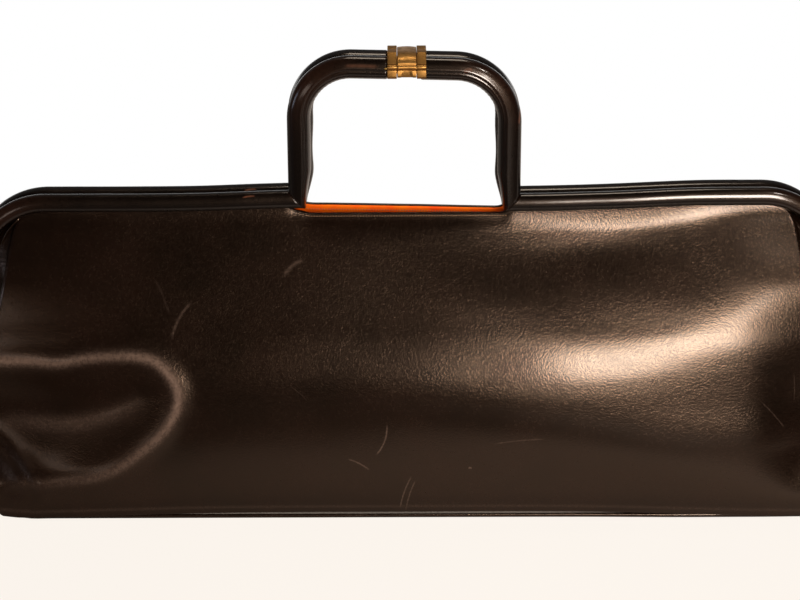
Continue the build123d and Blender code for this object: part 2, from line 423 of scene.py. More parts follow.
def bumped(tree: Tree, height: Socket, depth_mm: float, strength: float) -> Socket:
    """Turns a height into a normal, with the depth of a whole unit of it."""
    inputs = {"Strength": strength, "Distance": depth_mm * MM, "Height": height}
    return add_node(tree, "Bump", None, inputs).outputs[0]


def kept(tree: Tree, name: str, output: str) -> Socket:
    """Reads what a piece keeps for its material: its resting place, or its share of rubbing, oxide and
    painted light.
    """
    return add_node(tree, "Attribute", {"attribute_name": name}).outputs[output]


def new_material(name: str) -> tuple[bpy.types.Material, Tree, bpy.types.Node]:
    """Starts a material.

    Args:
        name: what the real material is.

    Returns:
        The material, its tree and its shader.
    """
    material = bpy.data.materials.new(name)
    material.use_nodes = True
    return material, material.node_tree, material.node_tree.nodes["Principled BSDF"]


@dataclass(frozen=True)
class FrameSizes:
    """Sizes that the frame's CAD solids have and the dressed pieces share."""

    rod_y: float = 6.1
    handle_r: float = 5.9
    rail_r: float = 4.8
    arm_x: float = 216.0
    leg_x: float = 52.5
    rail_z: float = 160.0
    top_z: float = 228.3
    handle_bend_r: float = 26.5
    end_bend_r: float = 35.0
    hinge_z: float = 106.0
    sleeve_end_z: float = 118.3
    half_length: float = 210.4
    clasp_half: float = 9.6
    clasp_x: float = 1.35
    collar_width: float = 4.7
    clasp_gap: float = 0.14


SIZES = FrameSizes()
# Years of use have bent the rails: up or down along the bag.
LEAN = ((-216, -0.65), (-170, -0.77), (-105, -0.56), (-59, 0.8), (0, -0.1), (59, -1.2), (100, -0.35),
        (152, 1.6), (178, 1.65), (216, 1.65))


def lean(x: Array, z: Array) -> Array:
    """Bend of the frame: a smooth curve along the bag that fades out down to the hinge."""
    return through(x, LEAN) * smooth(SIZES.hinge_z, SIZES.rail_z - 10, z)


def arm_inside(z: Array) -> Array:
    """How far out the inner side of the frame's arm and end bend is at a height."""
    rise = np.clip(z - (SIZES.rail_z - SIZES.end_bend_r), 0.0, SIZES.end_bend_r - 0.01)
    return SIZES.arm_x - SIZES.end_bend_r + np.sqrt(SIZES.end_bend_r**2 - rise**2) - SIZES.rail_r


@dataclass(frozen=True)
class Bulge:
    """A soft swelling of the leather, or a hollow where its height is below zero, at a place of X and Z."""

    x: float
    z: float
    reach: float
    width: float
    turn_deg: float
    height: float

    def rise(self, x: Array, z: Array) -> Array:
        """Height at places on the bag: bell curves along and across the turned axis, multiplied.

        Args:
            x: places along the bag.
            z: heights, of the same shape.

        Returns:
            The height at each place.
        """
        turn = math.radians(self.turn_deg)
        along = (x - self.x) * math.cos(turn) + (z - self.z) * math.sin(turn)
        across = (z - self.z) * math.cos(turn) - (x - self.x) * math.sin(turn)
        return self.height * bell(along, self.reach) * bell(across, self.width)


@dataclass
class Panel:
    """One long side of the bag: a single skin of leather from the base to the rail."""

    half: Half
    thickness: float = 2.0
    stations: int = 226
    stitch_drop: float = 0.9
    stitch_groove: float = 0.12
    stitch_groove_width: float = 0.35
    edge_roll: float = 0.1
    end_rib: float = 0.07
    rail_tuck: float = 1.6
    front_sag: float = 1.3
    rear_sag: float = 1.7
    lining_gap: float = 0.3
    lining_thickness: float = 0.9
    lining_foot: float = 5.4
    lining_ends: float = 3.2
    front_lining_drop: float = 5.0
    rear_lining_drop: float = 0.1
    # Half depth and half length of the skin by height, and the height of its upper edge.
    HEAD = 155.0
    PROFILE = ((-2, 41.0), (0, 41.6), (4, 42.7), (10, 43.8), (20, 44.6), (30, 45.0), (45, 45.0),
               (60, 44.1), (70, 42.8), (77, 41.3), (85, 38.9), (95, 35.2), (105, 30.8), (115, 26.4),
               (127, 21.1), (139, 15.8), (148, 11.9), (155.2, 8.9), (158, 8.9))
    OUTLINE = ((0, 205.8), (1.2, 207.8), (3, 209.2), (6, 210.2), (10, 210.4), (60, 210.4), (90, 209.6),
               (103, 206.6), (112, 204.4), (122, 202.2), (134, 199.8), (142, 198.2), (148, 196.6),
               (151.5, 194.6), (153.8, 192.0), (HEAD, 190.0))
    # How far the foot stands off the floor along the bag, and how much the ends are drawn in by height.
    FOOT_LIFT = ((-215, 0.6), (-190, 0.9), (-105, 3.2), (0, 3.7), (100, 3.4), (141, 2.5), (197, 0.8),
                 (215, 0.6))
    ROUNDING = ((0, 0.0), (10, 0.01), (40, 0.12), (80, 0.25), (100, 0.25), (120, 0.19), (140, 0.17),
                (155.2, 0.17))
    # Depth lost at the lower ends and at the upper corners, and the heights of two slow waves.
    END_DRAW, CORNER_DRAW = 6.0, 2.4
    LONG_WAVE, SHORT_WAVE = 0.14, 0.06
    # The dent: its rim's trace, height along it and width inside and outside, and its bowl's depth and reach.
    DENT = Trace(((-222, 82.5), (-203.8, 83.7), (-189.7, 84.4), (-175.6, 83.9), (-161.5, 86.4),
                  (-147.4, 87.9), (-133.3, 87.9), (-124.8, 85.6), (-117.8, 79.3), (-113.6, 71.9),
                  (-113.3, 65.0), (-116.6, 56.4), (-123.4, 47.0), (-134.3, 37.4), (-145.3, 29.3),
                  (-156.2, 24.6), (-170.5, 22.3), (-184.9, 20.8), (-203, 19.5), (-222, 19.0)))
    RIM_HEIGHT = ((0, 0.9), (0.25, 1.1), (0.42, 1.1), (0.7, 1.2), (0.85, 1.1), (1, 0.6))
    RIM_INSIDE, RIM_OUTSIDE = 4.5, 5.0
    BOWL_DEPTH, BOWL_REACH = 2.6, 34.0
    DENT_WRINKLE = Trace(((-206, 50.0), (-194.6, 50.6), (-166.7, 51.5), (-148.9, 56.6), (-131.1, 65.5)))
    WRINKLE_HEIGHT, WRINKLE_WIDTH = 0.35, 4.0
    # The pinched lower corner: its crease's trace, the lip beside it, the drop behind it and its own depth.
    PINCH = Trace(((-222, 50), (-205.2, 37.5), (-195.7, 26.7), (-189.8, 15.5), (-193.1, 6.6), (-197, 0)))
    PINCH_LIP, PINCH_DROP, PINCH_CREASE = 0.3, 3.5, 0.6
    PINCH_LIP_WIDTH, PINCH_DROP_RUN, PINCH_CREASE_WIDTH = 4.5, (-3.0, 15.0), 2.6
    # Tan from rubbing and painted highlight along the dent's rim, painted highlight on its wrinkle and along
    # the foot, and where each lies.
    RIM_WEAR = ((0, 0.7), (0.3, 0.4), (0.46, 0.7), (0.6, 0.4), (0.9, 0.05), (1, 0))
    RIM_WEAR_INSIDE, RIM_WEAR_WIDTH, RIM_WEAR_FADE = 0.7, 2.1, 4.5
    WRINKLE_WEAR, WRINKLE_WEAR_WIDTH = 0.12, 4.5
    FOOT_WEAR, FOOT_WEAR_RISE, FOOT_WEAR_WIDTH = 0.07, 4.2, 0.8
    # How the leather has stretched on the right-hand side, fitted to where its highlights lie.
    BULGES = (
        Bulge(101.4, 144.0, 62.0, 17.8, 9.2, -2.09),
        Bulge(174.8, 58.8, 60.9, 28.9, 50.4, 2.18),
        Bulge(167.4, 107.5, 56.5, 29.9, 17.2, 3.9),
        Bulge(103.3, 45.0, 94.4, 25.6, -12.6, 3.5),
        Bulge(141.4, 126.2, 44.8, 13.9, -16.0, -0.73),
        Bulge(183.4, 44.3, 17.2, 28.8, 6.9, 2.17),
        Bulge(55.1, 105.4, 63.2, 24.7, -24.6, 1.88),
        Bulge(195.8, 138.5, 25.3, 15.7, 1.7, -0.5),
        Bulge(100.7, 147.5, 36.8, 9.3, 5.2, 0.87),
    )

    def depth(self, x: Array, z: Array) -> Array:
        """Half depth of the outer face.

        The side profile, drawn in towards the ends by a power of the share along the bag, with slow waves of
        the leather; the front adds its dent, its pinched corner and its bulges.

        Args:
            x: places along the bag.
            z: heights, of the same shape.

        Returns:
            Distance from the bag's middle plane.
        """
        share = np.abs(x / SIZES.half_length)
        depth = through(z, self.PROFILE) * (1 - through(z, self.ROUNDING) * share**2.5)
        flip = self.half.facing
        waves = self.LONG_WAVE * np.sin(x / 23.0 + z / 33.0 + 1.3 * flip)
        waves += self.SHORT_WAVE * np.sin(x / 11.5 - z / 17.0 + 0.4 * flip)
        depth += waves * smooth(2, 30, z) * (1 - smooth(135, 152, z))
        low = smooth(8, 40, z) * (1 - smooth(55, 95, z))
        depth -= self.END_DRAW * smooth(125, 216, np.abs(x)) ** 2 * low
        depth -= self.CORNER_DRAW * smooth(140, 195, np.abs(x)) * np.clip((z - 120) / 35, 0, 1) ** 1.3
        if self.half is Half.FRONT:
            depth += self.dents(x, z)
        return depth

    def dents(self, x: Array, z: Array) -> Array:
        """What years of use pressed into the front.

        A rim that falls off as a bell curve on both sides of the dent's trace and a bowl that drops by a
        smooth step inside it, a shallow wrinkle, a pinched lower corner behind a crease, and the bulges on
        the right, which fade out under the rail.

        Args:
            x: places along the bag.
            z: heights, of the same shape.

        Returns:
            How far the face stands out, below zero where it is pressed in.
        """
        inside, share = self.DENT.measure(x, z)
        rim = bell(inside, np.where(inside > 0, self.RIM_INSIDE, self.RIM_OUTSIDE))
        total = through(share, self.RIM_HEIGHT) * rim - self.BOWL_DEPTH * smooth(0.0, self.BOWL_REACH, inside)
        total += self.WRINKLE_HEIGHT * self.wrinkle(x, z, self.WRINKLE_WIDTH)
        pinch, _ = self.PINCH.measure(x, z)
        lip = self.PINCH_LIP * bell(pinch + self.PINCH_LIP_WIDTH, self.PINCH_LIP_WIDTH)
        total += lip - self.PINCH_DROP * smooth(*self.PINCH_DROP_RUN, pinch)
        total -= self.PINCH_CREASE * bell(pinch, self.PINCH_CREASE_WIDTH)
        swell = sum(bulge.rise(x, z) for bulge in self.BULGES)
        return total + swell * (1 - smooth(146, self.HEAD, z))

    def wrinkle(self, x: Array, z: Array, width: float) -> Array:
        """Share of the dent's wrinkle: a bell across its trace, fading at both ends as a sine's root."""
        across, share = self.DENT_WRINKLE.measure(x, z)
        return bell(across, width) * np.sin(np.pi * np.clip(share, 0, 1)) ** 0.5

    def heights(self) -> Array:
        """Rows of the skin: close together at the foot and under the rail, even between.

        Returns:
            Heights from foot to head.
        """
        foot = np.array([0.6, 1.0, 1.5, 2.2, 3.2, 4.6])
        body = np.linspace(6.3, 147.0, 80)
        head = np.array([148.4, 149.7, 150.9, 151.9, 152.7, 153.1, 153.4, 153.7, 154.0, 154.5, self.HEAD])
        return np.concatenate([foot, body, head])

    def face(self, inset: float = 0.0, foot: float = 0.0, head: float = HEAD, ends: float = 0.0) -> Array:
        """Grid of the outer face, or of a face set in from it.

        Each row runs the length of the bag at one height, as a share of the outline there. The foot lifts off
        the floor in the middle and the head follows the bent rail, sagging between the handle's legs.

        Args:
            inset: how far the face lies inside the outer one.
            foot: lowest height kept.
            head: highest height kept.
            ends: how far the ends are set in.

        Returns:
            Points by station, by row, by three, ordered so that the normal points out of the bag.
        """
        rows = self.heights()
        rows = np.concatenate([[foot], rows[(rows > foot) & (rows < head)], [head]]) if foot else rows
        stations = -self.half.facing * np.linspace(-1, 1, self.stations)
        share, z = np.meshgrid(stations, rows, indexing="ij")
        x = share * (through(z, self.OUTLINE) - ends)
        depth = self.depth(x, z) - inset
        if inset == 0.0:
            depth += self.edge(x, z)
        sag = self.sag(x) * smooth(140, self.HEAD, z)
        free = np.where(x < 0, SIZES.leg_x + 2, SIZES.leg_x - 4)
        tuck = self.rail_tuck * smooth(0, 6, np.abs(x) - free) * smooth(149, self.HEAD, z)
        lift = through(x, self.FOOT_LIFT) * (1 - smooth(0, 22, z))
        return np.stack([x, self.half.facing * depth, z + lift + lean(x, z) + tuck - sag], axis=-1)

    def sag(self, x: Array) -> Array:
        """Drop of the free edge between the handle's legs; the front one hangs level though the rails lean.

        Args:
            x: places along the bag.

        Returns:
            The drop at each place.
        """
        free = smooth(SIZES.leg_x + 5, SIZES.leg_x - 6, np.abs(x))
        return (self.front_sag + through(x, LEAN) if self.half is Half.FRONT else self.rear_sag) * free

    def edge(self, x: Array, z: Array) -> Array:
        """Relief of the turned upper edge and of the left end.

        A groove as a bell curve along the stitches with a roll above it, and ribs as a sine beside the arm.

        Args:
            x: places along the bag.
            z: heights, of the same shape.

        Returns:
            How far the face stands out.
        """
        line = self.HEAD - self.stitch_drop
        groove = self.edge_roll * smooth(line, self.HEAD, z)
        groove -= self.stitch_groove * bell(z - line, self.stitch_groove_width)
        groove *= smooth(SIZES.leg_x + 4, SIZES.leg_x, np.abs(x))
        near_end = smooth(-188, -200, x) * smooth(108, 118, z) * (1 - smooth(140, 150, z))
        return groove + self.end_rib * near_end * np.sin(z * 1.6 + x * 0.25)

    def build(self) -> bpy.types.Object:
        """Makes the skin and marks its tan from rubbing and its painted highlights.

        Returns:
            The skin.
        """
        points, faces = shell(self.face(), self.thickness)
        piece = add_piece(f"{self.half.label}_panel_leather", points, faces)
        # The share of tan from rubbing and of painted highlight on the skin.
        mark(piece, self.rubbed(points[:, 0], points[:, 2]))
        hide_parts(f"{self.half.label}_panel", f"{self.half.label}_panel_top")
        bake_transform(piece)
        return piece

    def rubbed(self, x: Array, z: Array) -> Array:
        """Share of rubbing and painted highlight at places on the skin.

        Bell curves: a painted highlight line along the foot, tan from rubbing with painted highlight along
        the dent's rim, narrow with a faint wide one under it, and painted highlight on the wrinkle.

        Args:
            x: places along the bag.
            z: heights, of the same shape.

        Returns:
            Shares from 0 to 1.
        """
        # Painted highlight: a thin light line along the crease of the foot, on both skins.
        above = z - through(x, self.FOOT_LIFT) - self.FOOT_WEAR_RISE
        wear = self.FOOT_WEAR * bell(above, self.FOOT_WEAR_WIDTH)
        if self.half is Half.FRONT:
            # Tan from rubbing, with a painted highlight, along the dent's rim.
            rim, share = self.DENT.measure(x, z)
            off = rim - self.RIM_WEAR_INSIDE
            across = 0.9 * bell(off, self.RIM_WEAR_WIDTH) + 0.1 * bell(off, self.RIM_WEAR_FADE)
            wear += through(share, self.RIM_WEAR) * across
            # Painted highlight along the dent's wrinkle.
            wear += self.WRINKLE_WEAR * self.wrinkle(x, z, self.WRINKLE_WEAR_WIDTH)
        return np.clip(wear, 0, 1)

    def lining(self) -> bpy.types.Object:
        """Makes the lining behind the skin, from the base board to just below the stitched edge.

        Returns:
            The lining.
        """
        head = self.HEAD - (self.front_lining_drop if self.half is Half.FRONT else self.rear_lining_drop)
        face = self.face(self.thickness + self.lining_gap, self.lining_foot, head, self.lining_ends)
        points, faces = shell(face, self.lining_thickness)
        piece = add_piece(f"{self.half.label}_lining", points, faces)
        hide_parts(f"{self.half.label}_facing")
        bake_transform(piece)
        return piece


def between(front: Panel, rear: Panel, x: Array, z: Array, inset: float, share: Array) -> Array:
    """Places in Y between the two skins.

    Args:
        front: the front skin.
        rear: the rear skin.
        x: places along the bag.
        z: heights, of the same shape.
        inset: how far inside each skin's face the run begins and ends.
        share: share of the way from front to rear.

    Returns:
        Y at each place.
    """
    near, far = inset - front.depth(x, z), rear.depth(x, z) - inset
    return near + (far - near) * share


def facing_out(grid: Array, outward: bool) -> Array:
    """A grid as it is, or with its rows turned round so that its normal points the other way."""
    return grid if outward else grid[::-1]


@dataclass
class Stitching:
    """A row of saddle stitches along the top edge of a panel, between the handle's legs."""

    panel: Panel
    inside: bool
    pitch: float = 1.36
    length: float = 0.75
    radius: float = 0.3
    half_run: float = 51.0
    slant: float = 0.08
    stand: float = 0.1
    inner_inset: float = 1.2
    inner_drop: float = 2.3
    around: int = 6

    def build(self) -> bpy.types.Object:
        """Makes the stitches.

        Each is a spindle: rings whose radius is the square root of one less the share along it squared, lying
        along the edge at a slight slant, half sunk in the leather.

        Returns:
            The row as one object, riding on the panel's frame half.
        """
        count = int(2 * self.half_run / self.pitch)
        x = np.linspace(-self.half_run, self.half_run, count)
        inset = self.panel.thickness + self.inner_inset if self.inside else -self.stand
        z = np.full(count, Panel.HEAD - (self.inner_drop if self.inside else self.panel.stitch_drop))
        y = self.panel.half.facing * (self.panel.depth(x, z) - inset)
        middle = np.stack([x, y, z + lean(x, z) - self.panel.sag(x)], axis=-1)
        along = np.array([-1.0, -0.8, 0.0, 0.8, 1.0])[:, None, None]
        angle = np.linspace(0, 2 * np.pi, self.around, endpoint=False)
        girth = self.radius * np.sqrt(np.maximum(1 - along**2, 0.02))
        ring = np.stack([np.zeros(self.around), np.cos(angle), np.sin(angle)], axis=-1)
        template, faces = tube(girth * ring + along * np.array([self.length / 2, 0, self.slant]))
        points = (middle[:, None, :] + template).reshape(-1, 3)
        starts = np.arange(count) * len(template)
        every = [[v + int(s) for v in face] for s in starts for face in faces]
        where = "facing" if self.inside else "edge"
        piece = add_piece(f"{self.panel.half.label}_{where}_stitches", points, every)
        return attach(piece, self.panel.half.body)


@dataclass
class Gussets:
    """The bag's two ends: flat walls below the hinge, webs inside the arms above it, and the fold between."""

    front: Panel
    rear: Panel
    thickness: float = 1.8
    soft_thickness: float = 1.2
    wall_x: float = 210.2
    wall_foot: float = 2.6
    wall_head: float = 104.0
    wall_dish: float = 1.6
    wall_overlap: float = 0.6
    wall_corner: float = 4.0
    wall_wear: float = 0.16
    arm_gap: float = 0.7
    hinge_x: float = 207.6
    hinge_step: float = 2.9
    web_foot: float = 97.0
    web_head: float = 154.0
    web_end: float = 2.6
    web_inset: float = 0.9
    web_inner_y: float = 0.9
    swell_share: float = 0.62
    rib_share: float = 0.6
    rib: float = 0.4
    fold_y: float = 6.8
    fold_draw: float = 3.0

    def wall(self, side: Side) -> bpy.types.Object:
        """Makes one end wall.

        Each row spans from panel to panel at one height, dished inwards by a parabola across it.

        Args:
            side: which end.

        Returns:
            The wall, riding on the lower bag.
        """
        heights = np.linspace(self.wall_foot, self.wall_head, 60)
        share, z = np.meshgrid(np.linspace(0, 1, 44), heights, indexing="ij")
        end = np.full(z.shape, side.facing * (SIZES.half_length - 2))
        y = between(self.front, self.rear, end, z, self.front.thickness - self.wall_overlap, share)
        dish = self.wall_dish * (1 - (2 * share - 1) ** 2) * smooth(0, 25, z) * (1 - smooth(88, 100, z))
        corner = self.wall_corner * (1 - smooth(2, 9, z)) ** 2
        grid = np.stack([side.facing * (self.wall_x - dish - corner), y, z], axis=-1)
        points, faces = shell(facing_out(grid, side is Side.RIGHT), self.thickness)
        piece = add_piece(f"{side.label}_gusset_leather", points, faces)
        mark(piece, self.wall_wear * bell(points[:, 2], self.wall_corner))
        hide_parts(f"{side.label}_gusset")
        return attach(piece, "body")

    def reach(self, z: Array) -> Array:
        """How far out the soft leather goes: to the arm, and inside the hinge below it."""
        return np.minimum(arm_inside(z) - self.arm_gap, self.hinge_x + self.hinge_step * smooth(101, 110, z))

    def web_grid(self, panel: Panel, side: Side) -> Array:
        """Grid of one web.

        From the panel's end edge it swells out as a power of a sine to the arm and runs in behind it, with
        ribs as a sine of the height.

        Args:
            panel: the long side that it joins.
            side: which end.

        Returns:
            Points by step from panel to middle, by height, by three.
        """
        heights = np.linspace(self.web_foot, self.web_head, 64)
        share, z = np.meshgrid(np.linspace(0, 1, 30), heights, indexing="ij")
        edge_x = through(z, panel.OUTLINE) - self.web_end
        edge_y = panel.depth(side.facing * edge_x, z) - panel.thickness - self.web_inset
        swell = np.sin(np.pi / 2 * np.clip(share / self.swell_share, 0, 1)) ** 0.8
        ribs = self.rib * np.sin(z * 1.5 + share * 2.0)
        ribs = ribs * np.sin(np.pi * np.clip(share / self.rib_share, 0, 1))
        x = edge_x + (self.reach(z) - edge_x) * swell - np.abs(ribs * smooth(106, 116, z))
        y = edge_y + (self.web_inner_y - edge_y) * share
        return np.stack([side.facing * x, panel.half.facing * y, z + lean(side.facing * x, z)], axis=-1)

    def fold_grid(self, panel: Panel, side: Side) -> Array:
        """Grid of one half of the fold between the arms: flat, and drawn inwards to the middle line.

        Args:
            panel: the long side whose frame half it moves with.
            side: which end.

        Returns:
            Points by step from the middle outwards, by height, by three.
        """
        heights = np.linspace(self.web_foot, self.web_head - 2, 40)
        y, z = np.meshgrid(np.linspace(0, self.fold_y, 10), heights, indexing="ij")
        x = self.reach(z) - self.fold_draw - self.fold_draw * (1 - y / self.fold_y)
        return np.stack([side.facing * x, panel.half.facing * y, z], axis=-1)

    def soft_ends(self, panel: Panel) -> list[bpy.types.Object]:
        """Makes the webs and fold halves at both ends of one long side.

        Args:
            panel: the long side that they join.

        Returns:
            The webs and the fold halves.
        """
        made = []
        for name, grid in (("webs", self.web_grid), ("folds", self.fold_grid)):
            sheets = []
            for side in Side:
                outward = (side.facing * panel.half.facing > 0) == (name == "folds")
                sheets.append(shell(facing_out(grid(panel, side), outward), self.soft_thickness))
            points, faces = joined(*sheets)
            piece = add_piece(f"{panel.half.label}_gusset_{name}", points, faces)
            mark(piece, np.zeros(len(points)))
            made.append(piece)
        webs, folds = made
        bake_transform(webs)
        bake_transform(folds)
        return made


@dataclass
class Base:
    """What the bag stands on, and the lining above it."""

    front: Panel
    rear: Panel
    half_length: float = 206.5
    thickness: float = 2.2
    inset: float = 2.9
    rim_share: float = 0.25
    skin_z: float = 2.0
    lining_thickness: float = 0.9
    lining_z: float = 5.4
    lining_head: float = 101.5
    lining_inset: float = 4.0
    lining_half_length: float = 205.0
    end_x: float = 205.8
    end_skin_x: float = 206.0
    end_inset: float = 3.6
    end_corner: float = 4.0

    def floor_grid(self, z: float, inset: float, half_length: float) -> Array:
        """Level grid between the two skins at a height.

        Args:
            z: the height.
            inset: how far inside each skin's face it ends.
            half_length: how far it goes to both ends.

        Returns:
            Points by station, by step from front to rear, by three.
        """
        along = np.linspace(-half_length, half_length, 120)
        x, share = np.meshgrid(along, np.linspace(0, 1, 30), indexing="ij")
        y = between(self.front, self.rear, x, np.full(x.shape, self.skin_z), inset, share)
        return np.stack([x, y, np.full(x.shape, z)], axis=-1)

    def leather(self) -> bpy.types.Object:
        """Makes the base: a level sheet with a rounded rim, down to the ground.

        Returns:
            The base, riding on the lower bag.
        """
        grid = self.floor_grid(self.thickness, self.inset, self.half_length)
        points, faces = shell(grid, self.thickness, self.rim_share)
        piece = add_piece("base_leather", points, faces)
        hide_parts("base_panel")
        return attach(piece, "body")

    def lining(self) -> bpy.types.Object:
        """Makes the lining of the floor and both ends: level and upright sheets.

        Returns:
            The lining, riding on the lower bag.
        """
        level = self.floor_grid(self.lining_z, self.lining_inset, self.lining_half_length)
        sheets = [shell(level, self.lining_thickness)]
        heights = np.linspace(self.lining_z + 0.2, self.lining_head, 50)
        share, z = np.meshgrid(np.linspace(0, 1, 30), heights, indexing="ij")
        for side in Side:
            skin_x = np.full(z.shape, side.facing * self.end_skin_x)
            y = between(self.front, self.rear, skin_x, z, self.end_inset, share)
            x = side.facing * (self.end_x - self.end_corner * (1 - smooth(4, 12, z)) ** 2)
            grid = facing_out(np.stack([x, y, z], axis=-1), side is Side.RIGHT)
            sheets.append(shell(grid, self.lining_thickness))
        points, faces = joined(*sheets)
        piece = add_piece("lower_lining", points, faces)
        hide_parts("lining")
        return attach(piece, "body")


def bent_run(start: tuple, corner: tuple, end: tuple, bend_r: float, s: Array) -> Array:
    """Places along a straight run, a quarter round and a second straight run, in the XZ plane.

    Args:
        start: where the first run begins.
        corner: where the two runs would meet.
        end: where the second run ends.
        bend_r: radius of the quarter round.
        s: lengths along the whole.

    Returns:
        X and Z at each length.
    """
    start, corner, end = (np.array(p, float) for p in (start, corner, end))
    first, second = unit(corner - start), unit(end - corner)
    straight = np.linalg.norm(corner - start) - bend_r
    turn = np.clip((s - straight) / bend_r, 0.0, np.pi / 2)[:, None]
    before = np.minimum(s, straight)[:, None]
    after = np.maximum(s - straight - bend_r * np.pi / 2, 0.0)[:, None]
    return start + first * (before + bend_r * np.sin(turn)) + second * (bend_r * (1 - np.cos(turn)) + after)


@dataclass
class Sleeve:
    """Leather cover of a quarter of the frame: a tube along an arm and rail, or a leg and half a top bar."""

    half: Half
    side: Side
    handle: bool
    around: int = 64
    step: float = 1.3
    mitre_slope: float = 1.09
    mitre_reach: float = 12.0
    seam_depth: float = 0.28
    seam_width: float = 0.5
    seam_roll: float = 0.1
    seam_roll_off: float = 1.3
    seam_roll_width: float = 0.9
    seam_crowding: float = 0.72
    rail_seam_deg: float = -60.0
    handle_seam_deg: float = -27.0
    handle_seam_twist_deg: float = 20.0
    flat_share: float = 0.035
    flat_deg: float = 15.0
    ripple: float = 0.1
    uneven: float = 0.05
    end_round: float = 0.9
    end_narrowing: float = 0.09
    end_rub_width: float = 1.2
    foot_narrowing: float = 0.5
    front_foot_run: float = 17.0
    rear_foot_run: float = 12.0
    collar_overlap: float = 1.4

    @property
    def name(self) -> str:
        """Name of the CAD node that this stands for."""
        return f"{self.half.label}_{self.side.label}_{'handle' if self.handle else 'rail'}_sleeve"

    def route(self) -> tuple[tuple, tuple, tuple, float, float]:
        """The tube's route on the right-hand side.

        Returns:
            The start, the corner, the end, the bend's radius and the tube's.
        """
        foot = (SIZES.leg_x, SIZES.rail_z)
        if self.handle:
            end = (SIZES.clasp_half - self.collar_overlap, SIZES.top_z)
            return foot, (SIZES.leg_x, SIZES.top_z), end, SIZES.handle_bend_r, SIZES.handle_r
        start = (SIZES.arm_x, SIZES.sleeve_end_z)
        return start, (SIZES.arm_x, SIZES.rail_z), foot, SIZES.end_bend_r, SIZES.rail_r

    def lengths(self, total: float) -> Array:
        """Lengths along the route at which there is a ring: even, and closer at both ends.

        Args:
            total: the route's length.

        Returns:
            The lengths, in order.
        """
        close = np.array([0.0, 0.2, 0.5, 0.9, 1.4])
        even = np.linspace(2.2, total - 2.2, int(total / self.step))
        return np.concatenate([close, even, total - close[::-1]])

    def seam(self, s: Array, total: float) -> Array:
        """Angle of the seam along the tube; on the handle it winds by a smooth step.

        Args:
            s: lengths along the route.
            total: the route's length.

        Returns:
            The angle at each length, in a column.
        """
        degrees = np.full(len(s), self.rail_seam_deg)
        if self.handle:
            degrees = self.handle_seam_deg + self.handle_seam_twist_deg * smooth(0.3, 0.8, s / total)
        return np.radians(degrees)[:, None]

    def build(self) -> bpy.types.Object:
        """Makes the tube.

        Each ring's radius is the rod's, a little flattened on four sides by a cosine of four times the angle,
        less a bell-shaped groove along the seam, plus a low roll beside it, ripples on the inner side of the
        bend, and rounding at both ends. Rings near the mitre are sheared along the rod until the last one
        lies in the mitre's plane; the leg's foot narrows on its inner side.

        Returns:
            The cover, riding on its frame half.
        """
        start, corner, end, bend_r, radius = self.route()
        first, second = (np.linalg.norm(np.subtract(a, b)) for a, b in ((corner, start), (end, corner)))
        total = first + second - bend_r * (2 - np.pi / 2)
        s = self.lengths(total)
        line = bent_run(start, corner, end, bend_r, s)
        tangent = unit(np.gradient(line, s, axis=0))
        outer = np.stack([tangent[:, 1], -tangent[:, 0]], axis=1)
        bend = bell(s - first + 0.2 * bend_r, 0.7 * bend_r)[:, None]
        phase = np.linspace(-np.pi, np.pi, self.around, endpoint=False)
        seam = self.seam(s, total)
        angle = seam + phase - self.seam_crowding * np.sin(phase)
        s = s[:, None]
        arc = (angle - seam) * radius
        shape = np.full(angle.shape, radius) - self.seam_depth * bell(arc, self.seam_width)
        shape -= self.flat_share * radius * np.cos(4.0 * (angle - np.radians(self.flat_deg)))
        ripple = np.sin(s * 2.1 + 0.7 * np.sin(s * 0.6)) * bend * smooth(0.2, -0.9, np.sin(angle))
        roll = self.seam_roll * bell(arc - self.seam_roll_off, self.seam_roll_width)
        shape += roll + self.ripple * ripple
        shape += self.uneven * np.sin(s / 7.0 + 2.0 * self.side.facing) * np.cos(angle)
        near_end = np.minimum(s, total - s)
        shape *= 1 - self.end_narrowing * (1 - np.clip(near_end / self.end_round, 0, 1)) ** 2
        forward, out = shape * np.cos(angle), shape * np.sin(angle)
        rear = self.half is Half.REAR
        if self.handle:
            if rear:
                wavy = (0.7 + 0.3 * np.sin(s / 5.0)) * smooth(2, 16, s) * smooth(total, 60, s)
                out -= wavy * smooth(0.0, -0.6, np.sin(angle))
            foot = 1 - smooth(0, self.rear_foot_run if rear else self.front_foot_run, s)
            out = np.where(out < 0, out * (1 - self.foot_narrowing * foot), out)
            slide = SIZES.rail_r - self.mitre_slope * (SIZES.handle_r - out)
            slide = slide * (1 - smooth(0, self.mitre_reach, s))
        else:
            slide = (SIZES.rail_r - out) / self.mitre_slope - SIZES.handle_r
            slide = slide * smooth(total - self.mitre_reach, total, s)
        x = self.side.facing * (line[:, :1] + outer[:, :1] * out + tangent[:, :1] * slide)
        y = self.half.facing * (SIZES.rod_y + forward)
        z = line[:, 1:] + outer[:, 1:] * out + tangent[:, 1:] * slide
        z = z + lean(self.side.facing * line[:, :1], line[:, 1:])
        points, faces = tube(np.stack([x, y, z], axis=-1))
        piece = add_piece(self.name + "_leather", points, faces, sharp_deg=70)
        rub = bend * smooth(0.1, 0.9, np.cos(angle - 0.5)) + 0.5 * bell(near_end, self.end_rub_width)
        mark(piece, np.concatenate([np.clip(rub, 0, 1).ravel(), [0.0, 0.0]]))
        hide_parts(self.name)
        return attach(piece, self.half.body)


